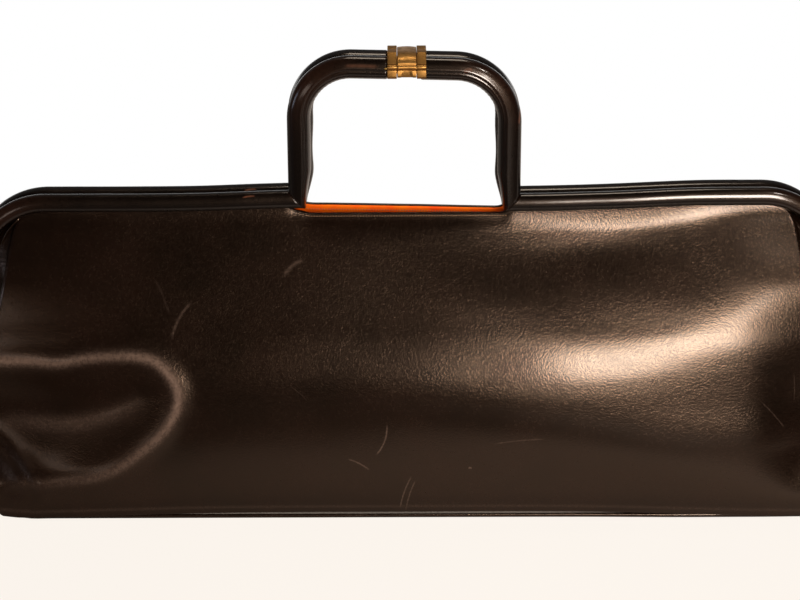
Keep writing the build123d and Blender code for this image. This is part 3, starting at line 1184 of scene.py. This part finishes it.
def round_corners(outline: Array, radius: float, samples: int = 5) -> Array:
    """Rounds the corners of a closed outline.

    Each corner becomes a quadratic arc that starts and ends a radius away along its two sides, held to four
    tenths of the shorter one.

    Args:
        outline: corner points.
        radius: how far from each corner its arc starts.
        samples: points on each arc.

    Returns:
        Points of the rounded outline.
    """
    before, after = np.roll(outline, 1, axis=0) - outline, np.roll(outline, -1, axis=0) - outline
    shorter = np.minimum(np.linalg.norm(before, axis=1), np.linalg.norm(after, axis=1))
    reach = np.minimum(radius, 0.4 * shorter)[:, None]
    t = np.linspace(0, 1, samples)[None, :, None]
    first, last = (outline + unit(before) * reach)[:, None], (outline + unit(after) * reach)[:, None]
    arcs = (1 - t) ** 2 * first + 2 * t * (1 - t) * outline[:, None] + t * t * last
    return arcs.reshape(-1, 2)


def pulled(outline: Array, x0: float, x1: float, edge: float) -> Array:
    """Rings of a bar: an outline of Y and Z carried along X, its two ends rounded over.

    Near an end each ring is drawn in along the outline's normal by one less the sine of the rounding's angle,
    and set out along X by one less its cosine.

    Args:
        outline: points of Y and Z.
        x0: left end.
        x1: right end.
        edge: radius of the rounding.

    Returns:
        Points by ring, by place around it, by three.
    """
    along = np.roll(outline, -1, axis=0) - np.roll(outline, 1, axis=0)
    area = np.sum(outline[:, 0] * np.roll(outline[:, 1], -1) - outline[:, 1] * np.roll(outline[:, 0], -1))
    normal = unit(np.stack([along[:, 1], -along[:, 0]], axis=1)) * np.sign(area)
    turn = np.linspace(0, np.pi / 2, 5)
    inset = edge * np.concatenate([1 - np.sin(turn), 1 - np.sin(turn[::-1])])
    x = np.concatenate([x0 + edge * (1 - np.cos(turn)), x1 - edge * (1 - np.cos(turn[::-1]))])
    flat = outline[None] - normal[None] * inset[:, None, None]
    return np.concatenate([np.broadcast_to(x[:, None, None], (*flat.shape[:2], 1)), flat], axis=-1)


@dataclass
class Clasp:
    """Brass clasp on the top bar: faceted collars on both rods, and a lever that closes over the keeper."""

    reach: float = 12.8
    top: float = 236.4
    foot: float = 223.9
    facet: float = 5.1
    bead_z: float = 230.0
    bead_r: float = 1.15
    lever_rear: float = 9.4
    parting: float = 0.2
    keeper_rear: float = 11.6
    keeper_drop: float = 2.8
    foot_chamfer: float = 1.3
    groove_in: float = 0.45
    groove_rise: float = 1.35
    groove_tarnish_rise: float = 1.4
    lever_drop: float = 1.1
    lever_thickness: float = 1.4
    lever_edge: float = 0.3
    crown_cut: float = 0.9
    crown_bow: float = 0.35
    lip_length: float = 4.1
    lip_bowl: float = 0.8
    collar_edge: float = 0.32
    sharp_deg: float = 48.0

    @property
    def half_width(self) -> float:
        """Half the width of what lies between the collars."""
        return SIZES.clasp_half - SIZES.collar_width - SIZES.clasp_gap

    def bead(self) -> list[tuple[float, float]]:
        """Front of the hinge barrel: a half round between two narrow grooves, and the face below it.

        Returns:
            Corners of Y and Z, from the top down.
        """
        turn = np.linspace(np.pi / 2, -np.pi / 2, 9)
        y = -self.reach - 0.1 - self.bead_r * np.cos(turn)
        z = self.bead_z + self.bead_r * np.sin(turn)
        bottom = self.groove_in - self.reach
        above, below = ((bottom, self.bead_z + way * self.groove_rise) for way in (1, -1))
        return [above, *zip(y.tolist(), z.tolist()), below, (-self.reach, self.bead_z - 1.6)]

    def collar_outline(self, half: Half) -> Array:
        """Rounded outline of a collar in Y and Z; the front one carries the hinge barrel.

        Args:
            half: which rod it is on.

        Returns:
            Points of the outline.
        """
        corners = [
            (-self.parting, self.foot),
            (-self.parting, self.top),
            (self.facet - self.reach, self.top),
            (-self.reach, self.top - self.facet + 0.25),
            *(self.bead() if half is Half.FRONT else []),
            (-self.reach, self.foot + self.foot_chamfer),
            (self.foot_chamfer - self.reach, self.foot),
        ]
        return round_corners(np.array(corners), 0.3) * np.array([-half.facing, 1.0])

    def collar(self, half: Half, side: Side) -> bpy.types.Object:
        """Makes one collar: its outline carried along the rod.

        Args:
            half: which rod it is on.
            side: which end of the clasp.

        Returns:
            The collar, riding on its frame half.
        """
        inner = SIZES.clasp_half - SIZES.collar_width
        ends = sorted(SIZES.clasp_x + side.facing * reach for reach in (inner, SIZES.clasp_half))
        points, faces = tube(pulled(self.collar_outline(half), *ends, self.collar_edge))
        node = f"clasp_{half.label}_{side.label}_collar"
        piece = add_piece(node + "_brass", points, faces, self.sharp_deg)
        mark(piece, self.tarnish(points))
        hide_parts(node)
        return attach(piece, half.body)

    def tarnish(self, points: Array) -> Array:
        """Share of dark oxide in the grooves beside the barrel as bell curves, with a painted dark reflection
        on top and painted shade underneath.

        Args:
            points: the points of a piece.

        Returns:
            Shares from 0 to 1.
        """
        z, y = points[:, 2], points[:, 1]
        groove = bell(np.abs(z - self.bead_z) - self.groove_tarnish_rise, 0.35) * (y < 1.2 - self.reach)
        # Painted dark reflection on the top face and painted shade on the underside.
        ends = 0.55 * smooth(self.top - 1.0, self.top, z) + 0.4 * (z < self.foot + 0.6)
        return np.clip(groove + ends, 0, 1)

    def lever(self) -> bpy.types.Object:
        """Makes the lever: a cover crowned as a quarter ellipse, its barrel, and a thumb lip with a bowl.

        Returns:
            The lever, riding on its own body.
        """
        top, crown_run = self.top - self.lever_drop, 1.8 * self.facet
        under = top - self.lever_thickness
        shoulder = top - self.facet + self.crown_cut
        crown = np.linspace(0, np.pi / 2, 9)
        y = (crown_run - self.reach) - crown_run * np.sin(crown)
        z = shoulder + (self.facet - self.crown_cut) * np.cos(crown)
        lip_foot = self.bead_z - self.bead_r - self.lip_length
        corners = [
            (self.lever_rear, under),
            (self.lever_rear, top),
            *zip(y.tolist(), z.tolist()),
            *self.bead(),
            (-self.reach - 0.25, lip_foot + 1.0),
            (-self.reach + 0.1, lip_foot),
            (-self.reach + 1.3, lip_foot),
            (-self.reach + 1.4, self.bead_z),
            (-self.reach + 1.5, shoulder),
            (crown_run - self.reach + 0.5, under),
        ]
        outline = round_corners(np.array(corners), 0.25, 3)
        ends = pulled(outline, -self.half_width, self.half_width, self.lever_edge)
        fill = np.linspace(-1, 1, 25)[:, None, None] * (self.half_width - self.lever_edge)
        body = np.concatenate([np.broadcast_to(fill, (25, len(outline), 1)),
                               np.broadcast_to(outline[None], (25, len(outline), 2))], axis=-1)
        rings = np.concatenate([ends[:4], body, ends[-4:]])
        x, y, z = np.moveaxis(rings, -1, 0)
        span = np.hypot(x / 3.3, (z - lip_foot + 0.6) / 3.0)
        lip = (z < self.bead_z - 1.7) & (y < 0.6 - self.reach)
        y += np.where(lip, self.lip_bowl * smooth(1.0, 0.75, span), 0.0)
        z += self.crown_bow * (1 - (x / self.half_width) ** 2) * smooth(top - self.facet, top, z)
        x += SIZES.clasp_x
        points, faces = tube(rings)
        piece = add_piece("clasp_lever_brass", points, faces, self.sharp_deg)
        mark(piece, 0.6 * self.tarnish(points))
        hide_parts("clasp_lever")
        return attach(piece, "clasp_lever")

    def keeper(self) -> bpy.types.Object:
        """Makes the keeper on the rear rod, under the lever's cover.

        Returns:
            The keeper, riding on the rear half.
        """
        head, foot = self.top - self.keeper_drop, self.foot + self.foot_chamfer
        corners = [(self.parting, foot), (self.parting, head), (self.lever_rear, head),
                   (self.keeper_rear, SIZES.top_z), (self.keeper_rear, foot)]
        ends = (SIZES.clasp_x - self.half_width, SIZES.clasp_x + self.half_width)
        points, faces = tube(pulled(round_corners(np.array(corners), 0.5), *ends, self.lever_edge))
        piece = add_piece("clasp_keeper_brass", points, faces, self.sharp_deg)
        mark(piece, np.full(len(points), 0.4))
        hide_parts("clasp_keeper")
        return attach(piece, "rear_frame")


@dataclass
class HingeRivet:
    """Rivet of one side hinge: a pin with a domed head outside and a flat one inside."""

    side: Side
    pin_r: float = 2.0
    head_r: float = 4.0
    inner_x: float = 210.7
    outer_x: float = 219.3
    dome: float = 1.4
    around: int = 36

    def build(self) -> bpy.types.Object:
        """Makes the rivet: radii by place along X, turned about the hinge; the dome is a quarter ellipse.

        Returns:
            The rivet, riding on the lower bag.
        """
        turn = np.linspace(0, np.pi / 2, 8)
        x = np.concatenate([self.inner_x - np.array([1.3, 1.2, 0.05, 0.0]), [self.outer_x],
                            self.outer_x + 0.25 + (self.dome - 0.25) * np.sin(turn)])
        r = np.concatenate([[self.head_r - 0.4, self.head_r, self.head_r, self.pin_r, self.pin_r],
                            self.head_r * np.maximum(np.cos(turn), 0.05)])
        angle = np.linspace(0, 2 * np.pi, self.around, endpoint=False)
        spokes = np.stack([np.zeros(self.around), np.cos(angle), np.sin(angle)], axis=-1)
        rings = r[:, None, None] * spokes
        rings[..., 0] += self.side.facing * x[:, None]
        rings[..., 2] += SIZES.hinge_z
        points, faces = tube(rings)
        node = f"{self.side.label}_hinge_rivet"
        piece = add_piece(node + "_brass", points, faces, sharp_deg=40)
        mark(piece, np.full(len(points), 0.3))
        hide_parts(node)
        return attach(piece, "body")


@dataclass(frozen=True)
class Scuff:
    """A scratch or scuffed patch: an arc between two places of X and Z, with its bow, width and strength."""

    start: Pair
    end: Pair
    bow: float
    width: float
    strength: float

    def mask(self, tree: Tree, place: Socket) -> Socket:
        """Adds the nodes that draw the scuff.

        The place is turned so that the scuff runs from minus one to one along X and is one wide along Z. Its
        strength falls off as a smooth step away from a parabola, and towards both ends.

        Args:
            tree: the material's tree.
            place: socket with the resting place in millimetres.

        Returns:
            Socket with the scuff's strength.
        """
        run = np.subtract(self.end, self.start)
        middle = np.add(self.end, self.start) / 2
        turned = add_node(tree, "Mapping", {"vector_type": "TEXTURE"}, {
            "Vector": place,
            "Location": (middle[0], 0.0, middle[1]),
            "Rotation": (0.0, -math.atan2(run[1], run[0]), 0.0),
            "Scale": (float(np.linalg.norm(run)) / 2, 1.0, self.width),
        }).outputs[0]
        along, _, across = add_node(tree, "SeparateXYZ", None, {0: turned}).outputs
        square = maths(tree, "MULTIPLY", along, along)
        bow = self.bow / self.width
        curve = maths(tree, "MULTIPLY_ADD", square, bow, across)
        off = maths(tree, "ABSOLUTE", maths(tree, "SUBTRACT", curve, bow))
        middle_line = ranged(tree, off, (0.0, 1.0), (self.strength, 0.0), soft=True)
        ends = ranged(tree, square, (0.35, 1.0), (1.0, 0.0), soft=True)
        return maths(tree, "MULTIPLY", middle_line, ends)


@dataclass(frozen=True)
class Leather:
    """Dyed and glazed cowhide.

    Fine pebble grain breaks up the gloss, the dye is uneven over a few centimetres, and rubbing brings up the
    tan of the hide in scratches and along edges. Real grain is finer: it is drawn nearly a millimetre across,
    since less would be lost in a picture of the whole bag.
    """

    name: str
    dark: str
    light: str
    worn: str
    roughness: Pair
    coat: float
    coat_roughness: float
    specular: float
    grain_mm: float
    grain_depth: float
    rub: float
    scuffs: tuple[Scuff, ...] = ()
    glaze: str = "#ffd6b4"
    dye_mm: float = 34.0
    fleck_mm: float = 1.6
    dent_mm: float = 11.0
    worn_roughness: float = 0.25
    fleck_roughness: float = 0.06

    def material(self) -> bpy.types.Material:
        """Makes the material: dye by slow noise, grain by rounded cells, rubbing by the marks and the scuffs,
        painted highlights by the marks.

        Returns:
            The material.
        """
        material, tree, shader = new_material(self.name)
        place = kept(tree, REST, "Vector")
        slow = noise(tree, place, self.dye_mm, 4.0, roughness=0.6)
        quick = noise(tree, place, self.fleck_mm, 4.0, roughness=0.7)
        cells = add_node(tree, "TexVoronoi", {"feature": "SMOOTH_F1"},
                         {"Vector": place, "Scale": 1 / self.grain_mm, "Smoothness": 0.5}).outputs["Distance"]
        scratch = 0.0
        for scuff in self.scuffs:
            scratch = maths(tree, "MAXIMUM", scratch, scuff.mask(tree, place))
        # On the skins the marks also carry painted highlights: a line along the foot, and on the front the
        # dent's rim and wrinkle.
        rub = maths(tree, "MULTIPLY", kept(tree, WEAR, "Fac"), self.rub, clamp=True)
        patchy = ranged(tree, quick, (0.4, 0.64), (0.6, 1.0))
        wear = maths(tree, "MULTIPLY", maths(tree, "MAXIMUM", scratch, rub), patchy, clamp=True)
        colour = blended(tree, ranged(tree, slow, (0.3, 0.7)), self.dark, self.light)
        gloss = ranged(tree, slow, (0.3, 0.7), self.roughness)
        gloss = maths(tree, "MULTIPLY_ADD", wear, self.worn_roughness, gloss)
        fleck = ranged(tree, quick, (0.3, 0.7), (-self.fleck_roughness, self.fleck_roughness))
        gloss = maths(tree, "ADD", gloss, fleck)
        creases = noise(tree, stretched(tree, place, (0.11, 0.5, 0.5)), 1.0, 3.0, distortion=0.4)
        dents = noise(tree, place, self.dent_mm, 2.0)
        height = cells
        for layer, share in ((quick, 0.8), (creases, 0.3), (dents, 0.8), (scratch, -0.3)):
            height = maths(tree, "MULTIPLY_ADD", layer, share, height)
        set_inputs(tree, shader, {
            "Base Color": blended(tree, wear, colour, self.worn),
            "Roughness": gloss,
            "Normal": bumped(tree, height, self.grain_depth, 1.0),
            "Specular IOR Level": self.specular,
            "Coat Weight": self.coat,
            "Coat Roughness": self.coat_roughness,
            "Specular Tint": linear(self.glaze),
        })
        return material


@dataclass(frozen=True)
class LiningHide:
    """Dyed sheepskin: matt, vivid, with a soft nap that varies over a few millimetres."""

    name: str = "orange_sheepskin_lining"
    dark: str = "#ff5000"
    light: str = "#ff7400"
    dye_mm: float = 9.0
    nap_mm: float = 0.7
    nap_depth: float = 0.08

    def material(self) -> bpy.types.Material:
        """Makes the material: two dyes by noise, and a fine nap as bump.

        Returns:
            The material.
        """
        material, tree, shader = new_material(self.name)
        place = kept(tree, REST, "Vector")
        slow = noise(tree, place, self.dye_mm, 4.0, roughness=0.6)
        nap = noise(tree, place, self.nap_mm, 3.0)
        set_inputs(tree, shader, {
            "Base Color": blended(tree, ranged(tree, slow, (0.35, 0.65)), self.dark, self.light),
            "Normal": bumped(tree, nap, self.nap_depth, 0.6),
            "Roughness": 0.75,
            "Specular IOR Level": 0.2,
        })
        return material


@dataclass(frozen=True)
class AgedBrass:
    """Cast and polished brass, handled for years: bright gold on the edges, brown oxide in the recesses, and
    painted shade on the clasp.
    """

    name: str = "aged_cast_brass"
    bright: str = "#dca45a"
    brown: str = "#7d582c"
    spot_mm: float = 2.6
    brush_depth: float = 0.03

    def material(self) -> bpy.types.Material:
        """Makes the material: brown oxide by noise and by the marks, which also carry painted shade, and fine
        brushing as bump.

        Returns:
            The material.
        """
        material, tree, shader = new_material(self.name)
        place = kept(tree, REST, "Vector")
        spots = noise(tree, place, self.spot_mm, 5.0, roughness=0.65)
        fine = noise(tree, stretched(tree, place, (3.2, 0.5, 0.5)), 1.0, 3.0)
        patina = ranged(tree, spots, (0.38, 0.72), (0.0, 0.75))
        # On the clasp the marks add painted shade and a painted dark reflection.
        patina = maths(tree, "MAXIMUM", patina, kept(tree, WEAR, "Fac"))
        set_inputs(tree, shader, {
            "Base Color": blended(tree, patina, self.bright, self.brown),
            "Roughness": ranged(tree, patina, (0.0, 1.0), (0.38, 0.58)),
            "Normal": bumped(tree, fine, self.brush_depth, 0.5),
            "Metallic": 1.0,
        })
        return material


@dataclass(frozen=True)
class PlainStock:
    """Plain stock that hardly shows, such as drawn steel rod or grey board: one colour, speckled by noise."""

    name: str
    dark: str
    light: str
    metallic: float
    roughness: float
    speck_mm: float
    speck_depth: float = 0.03

    def material(self) -> bpy.types.Material:
        """Makes the material from Object coordinates, since CAD solids carry no attribute of their own.

        Returns:
            The material.
        """
        material, tree, shader = new_material(self.name)
        place = add_node(tree, "TexCoord").outputs["Object"]
        specks = noise(tree, place, self.speck_mm * MM, 4.0)
        set_inputs(tree, shader, {
            "Base Color": blended(tree, ranged(tree, specks, (0.35, 0.65)), self.dark, self.light),
            "Normal": bumped(tree, specks, self.speck_depth, 0.3),
            "Metallic": self.metallic,
            "Roughness": self.roughness,
        })
        return material


@dataclass(frozen=True)
class WaxedThread:
    """Waxed linen thread: tan, a little shiny, darker where it is soiled."""

    name: str = "waxed_linen_thread"
    dark: str = "#6a4a34"
    light: str = "#b08c68"
    soil_mm: float = 3.5

    def material(self) -> bpy.types.Material:
        """Makes the material: soiling by noise over a few stitches.

        Returns:
            The material.
        """
        material, tree, shader = new_material(self.name)
        soil = noise(tree, kept(tree, REST, "Vector"), self.soil_mm, 3.0)
        colour = blended(tree, soil, self.dark, self.light)
        set_inputs(tree, shader, {"Base Color": colour, "Roughness": 0.5})
        return material


# Its pale colour is tan from rubbing, and also the painted highlight along the foot and on the dent's rim and
# wrinkle.
PANEL_LEATHER = Leather(
    "glazed_brown_cowhide", "#0c0502", "#140804", "#8f7464", (0.21, 0.25), 0.35, 0.18, 0.5, 0.85, 0.06, 1.0,
    (
        Scuff((-61.2, 124.7), (-50.6, 133.1), 1.2, 1.5, 0.15),
        Scuff((-117.2, 94.7), (-106.6, 113.5), 2.0, 1.2, 0.13),
        Scuff((-125.7, 123.9), (-118.1, 106.5), 0.6, 1.0, 0.04),
        Scuff((-15.3, 36.8), (-9.2, 55.0), -2.0, 0.7, 0.27),
        Scuff((-29.5, 35.3), (-17.9, 28.8), 0.8, 0.7, 0.22),
        Scuff((-2.8, 5.8), (3.4, 26.0), 1.0, 0.6, 0.2),
        Scuff((0.2, 4.8), (5.6, 24.0), 0.9, 0.6, 0.17),
        Scuff((31.8, 30.3), (33.8, 30.5), 0.0, 0.8, 0.35),
        Scuff((178.6, 64.5), (192.6, 48.4), 0.5, 0.5, 0.1),
        Scuff((43.0, 43.6), (72.0, 46.8), 0.8, 0.6, 0.12),
        Scuff((-31.0, 92.0), (-22.0, 101.0), 0.6, 0.45, 0.06),
        Scuff((12.0, 117.0), (31.0, 127.0), -0.8, 0.4, 0.06),
        Scuff((-58.0, 74.0), (-49.0, 66.0), 0.4, 0.4, 0.06),
        Scuff((64.0, 70.0), (95.0, 88.0), 1.0, 0.35, 0.05),
        Scuff((150.0, 44.0), (166.0, 57.0), -0.8, 0.4, 0.08),
        Scuff((196.0, 78.0), (197.0, 61.0), 0.5, 0.4, 0.1),
    ),
)
SLEEVE_LEATHER = Leather(
    "waxed_handle_cowhide", "#040201", "#090403", "#70402a", (0.28, 0.34), 1.0, 0.15, 0.22, 0.8, 0.03, 0.08,
    (
        Scuff((29.0, 227.2), (34.0, 228.4), 0.3, 1.6, 0.6),
        Scuff((57.0, 200.0), (57.8, 208.5), 0.2, 0.9, 0.6),
        Scuff((-81.5, 162.9), (-74.8, 163.6), 0.2, 0.6, 0.7),
        Scuff((-30.0, 230.6), (-12.0, 230.0), 0.2, 1.4, 0.35),
    ),
)


@dataclass
class Studio:
    """Camera, lights, floor and surroundings."""

    distance: float = 1100.0
    elevation_deg: float = 19.5
    roll_deg: float = -0.2
    focal_px: float = 2135.0
    target: tuple[float, float, float] = (-2.4, 0.0, 104.6)
    image_width: int = 800
    sensor: float = 36.0
    room_light: float = 0.8

    def camera(self) -> bpy.types.Object:
        """Makes the camera at the photograph's viewing angle.

        Returns:
            The camera, which the scene then uses.
        """
        data = bpy.data.cameras.new("camera")
        data.sensor_width = self.sensor
        data.lens = self.focal_px * self.sensor / self.image_width
        data.clip_start, data.clip_end = 0.05, 50.0
        cam = bpy.data.objects.new("camera", data)
        tilt = math.radians(self.elevation_deg)
        back = Vector((0.0, -math.cos(tilt), math.sin(tilt))) * self.distance
        turn = Matrix.Rotation(math.pi / 2 - tilt, 4, "X")
        turn = turn @ Matrix.Rotation(math.radians(self.roll_deg), 4, "Z")
        cam.matrix_world = Matrix.Translation((Vector(self.target) + back) * MM) @ turn
        bpy.context.scene.collection.objects.link(cam)
        bpy.context.scene.camera = cam
        return cam

    def lamp(self, name: str, place: tuple, aim: tuple, size: Pair, watts: float, tint: str) -> None:
        """Adds a soft rectangular lamp.

        Args:
            name: the lamp's name.
            place: where it stands, in metres.
            aim: the point that it lights, in metres.
            size: its width and height, in metres.
            watts: its power.
            tint: its colour.
        """
        data = bpy.data.lights.new(name, "AREA")
        data.shape = "RECTANGLE"
        data.size, data.size_y = size
        data.energy = watts
        data.color = linear(tint)[:3]
        lamp = bpy.data.objects.new(name, data)
        lamp.location = place
        lamp.rotation_euler = (Vector(aim) - Vector(place)).to_track_quat("-Z", "Y").to_euler()
        bpy.context.scene.collection.objects.link(lamp)

    def lights(self) -> None:
        """Adds a key and fill from the right, weak lamps from the left, one for the handle, one above."""
        left = (-0.15, 0.0, 0.08)
        for lamp in (
            ("key_softbox", (0.45, -1.45, 0.49), (0.1, 0.0, 0.08), (0.34, 0.34), 12.8, "#fff2e6"),
            ("fill_softbox", (0.27, -1.45, 0.49), (0.1, 0.0, 0.1), (0.15, 0.15), 1.2, "#fff4ea"),
            ("left_softbox", (-0.78, -1.37, 0.28), left, (0.2, 0.2), 0.3, "#ffe8d8"),
            ("window", (-1.2, -0.7, 0.3), left, (0.3, 0.3), 0.7, "#dce6ff"),
            ("handle_softbox", (0.62, -0.88, 1.02), (0.05, 0.0, 0.2), (0.1, 0.1), 2.0, "#fff4ea"),
            ("top_softbox", (0.1, 0.3, 1.5), (0.0, 0.0, 0.0), (0.5, 0.25), 3.0, "#fff0dc"),
        ):
            self.lamp(*lamp)

    def floor(self) -> bpy.types.Object:
        """Adds the floor: a pale sheet, warm to the eye in front of the bag and white behind it.

        To everything but the camera it is pale only near the bag, duller on the left, and dark further out in
        front, so that the leather mirrors it low down alone.

        Returns:
            The floor, which is no part of the bag.
        """
        edge, level = 4.0, -0.0004
        corners = [(-edge, -edge, level), (edge, -edge, level), (edge, edge, level), (-edge, edge, level)]
        mesh = bpy.data.meshes.new("floor")
        mesh.from_pydata(corners, [], [(0, 1, 2, 3)])
        floor = bpy.data.objects.new("floor", mesh)
        bpy.context.scene.collection.objects.link(floor)
        material, tree, shader = new_material("pale_paper_floor")
        place = add_node(tree, "TexCoord").outputs["Object"]
        x, y, _ = add_node(tree, "SeparateXYZ", None, {0: place}).outputs
        behind = ranged(tree, y, (0.0, 0.35), soft=True)
        close = ranged(tree, y, (-0.21, -0.12), soft=True)
        pale = blended(tree, ranged(tree, x, (-0.3, 0.08), soft=True), "#6e655d", "#c4b7ac")
        sheet = blended(tree, close, "#2a211c", pale)
        set_inputs(tree, shader, {"Base Color": sheet, "Roughness": 0.7})
        share = ranged(tree, behind, (0.0, 1.0), (0.95, 1.0))
        share = add_node(tree, "Mix", None, {0: close, 2: 1.0, 3: share}).outputs[0]
        share = maths(tree, "MULTIPLY", share, add_node(tree, "LightPath").outputs["Is Camera Ray"])
        tone = blended(tree, behind, "#fff8f0", "#ffffff")
        glow = add_node(tree, "Emission", None, {"Color": tone, "Strength": 1.0}).outputs[0]
        mixed = add_node(tree, "MixShader", None, {0: share, 1: shader.outputs[0], 2: glow}).outputs[0]
        tree.links.new(mixed, tree.nodes["Material Output"].inputs["Surface"])
        mesh.materials.append(material)
        return floor

    def surroundings(self) -> None:
        """Sets the world: white to the camera; to the bag, a white backdrop behind, a dim room in front."""
        world = bpy.data.worlds.new("studio")
        bpy.context.scene.world = world
        world.use_nodes = True
        tree = world.node_tree
        tree.nodes.clear()
        way = add_node(tree, "TexCoord").outputs["Generated"]
        _, y, z = add_node(tree, "SeparateXYZ", None, {0: way}).outputs
        backdrop = ranged(tree, y, (0.0, 0.7), (0.02, 1.0), soft=True)
        low = ranged(tree, z, (0.0, 0.25), (1.0, 0.06), soft=True)
        path = add_node(tree, "LightPath").outputs
        mirror = maths(tree, "MAXIMUM", path["Is Glossy Ray"], path["Is Transmission Ray"])
        mirrored = maths(tree, "MULTIPLY", backdrop, low)
        room = add_node(tree, "Mix", None, {0: mirror, 2: self.room_light, 3: mirrored}).outputs[0]
        strength = maths(tree, "MAXIMUM", room, path["Is Camera Ray"])
        light = add_node(tree, "Background", None, {"Color": (1, 1, 1, 1), "Strength": strength}).outputs[0]
        add_node(tree, "OutputWorld", None, {"Surface": light})


def dress_solids() -> None:
    """Gives each CAD solid that still shows the finish of its own stock."""
    steel = PlainStock("drawn_steel_rod", "#6f6f6d", "#8f8f8c", 1.0, 0.4, 1.5).material()
    board = PlainStock("grey_fibre_board", "#5c5750", "#77716a", 0.0, 0.85, 0.9).material()
    pin = PlainStock("brass_pin_wire", "#7c6233", "#a98a4c", 1.0, 0.35, 0.8).material()
    finishes = {"front_frame_core": steel, "rear_frame_core": steel, "left_hinge_plate": steel,
                "right_hinge_plate": steel, "base_board": board, "clasp_pin": pin}
    for name, material in finishes.items():
        dress(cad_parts[name], material)


def main() -> None:
    """Builds the bag piece by piece, dresses it, and sets up the studio."""
    logging.basicConfig(level=logging.INFO, format="%(name)s %(message)s")
    bpy.context.scene.view_settings.view_transform = "Standard"
    hide = PANEL_LEATHER.material()
    plain = replace(PANEL_LEATHER, name="plain_brown_cowhide", scuffs=()).material()
    cover = SLEEVE_LEATHER.material()
    orange = LiningHide().material()
    brass = AgedBrass().material()
    thread = WaxedThread().material()
    front, rear = Panel(Half.FRONT), Panel(Half.REAR)
    gussets = Gussets(front, rear)
    base = Base(front, rear)
    clasp = Clasp()
    for panel in (front, rear):
        dress(panel.build(), hide if panel is front else plain)
        dress(panel.lining(), orange)
        for piece in gussets.soft_ends(panel):
            dress(piece, plain)
    dress(Stitching(front, inside=False).build(), thread)
    dress(Stitching(rear, inside=False).build(), thread)
    dress(Stitching(rear, inside=True).build(), thread)
    dress(base.leather(), plain)
    dress(base.lining(), orange)
    for side in Side:
        dress(gussets.wall(side), plain)
        dress(HingeRivet(side).build(), brass)
        for half in Half:
            dress(clasp.collar(half, side), brass)
            for handle in (True, False):
                dress(Sleeve(half, side, handle).build(), cover)
    dress(clasp.lever(), brass)
    dress(clasp.keeper(), brass)
    dress_solids()
    studio = Studio()
    studio.camera()
    studio.lights()
    studio.floor()
    studio.surroundings()


if __name__ == "__main__":
    main()
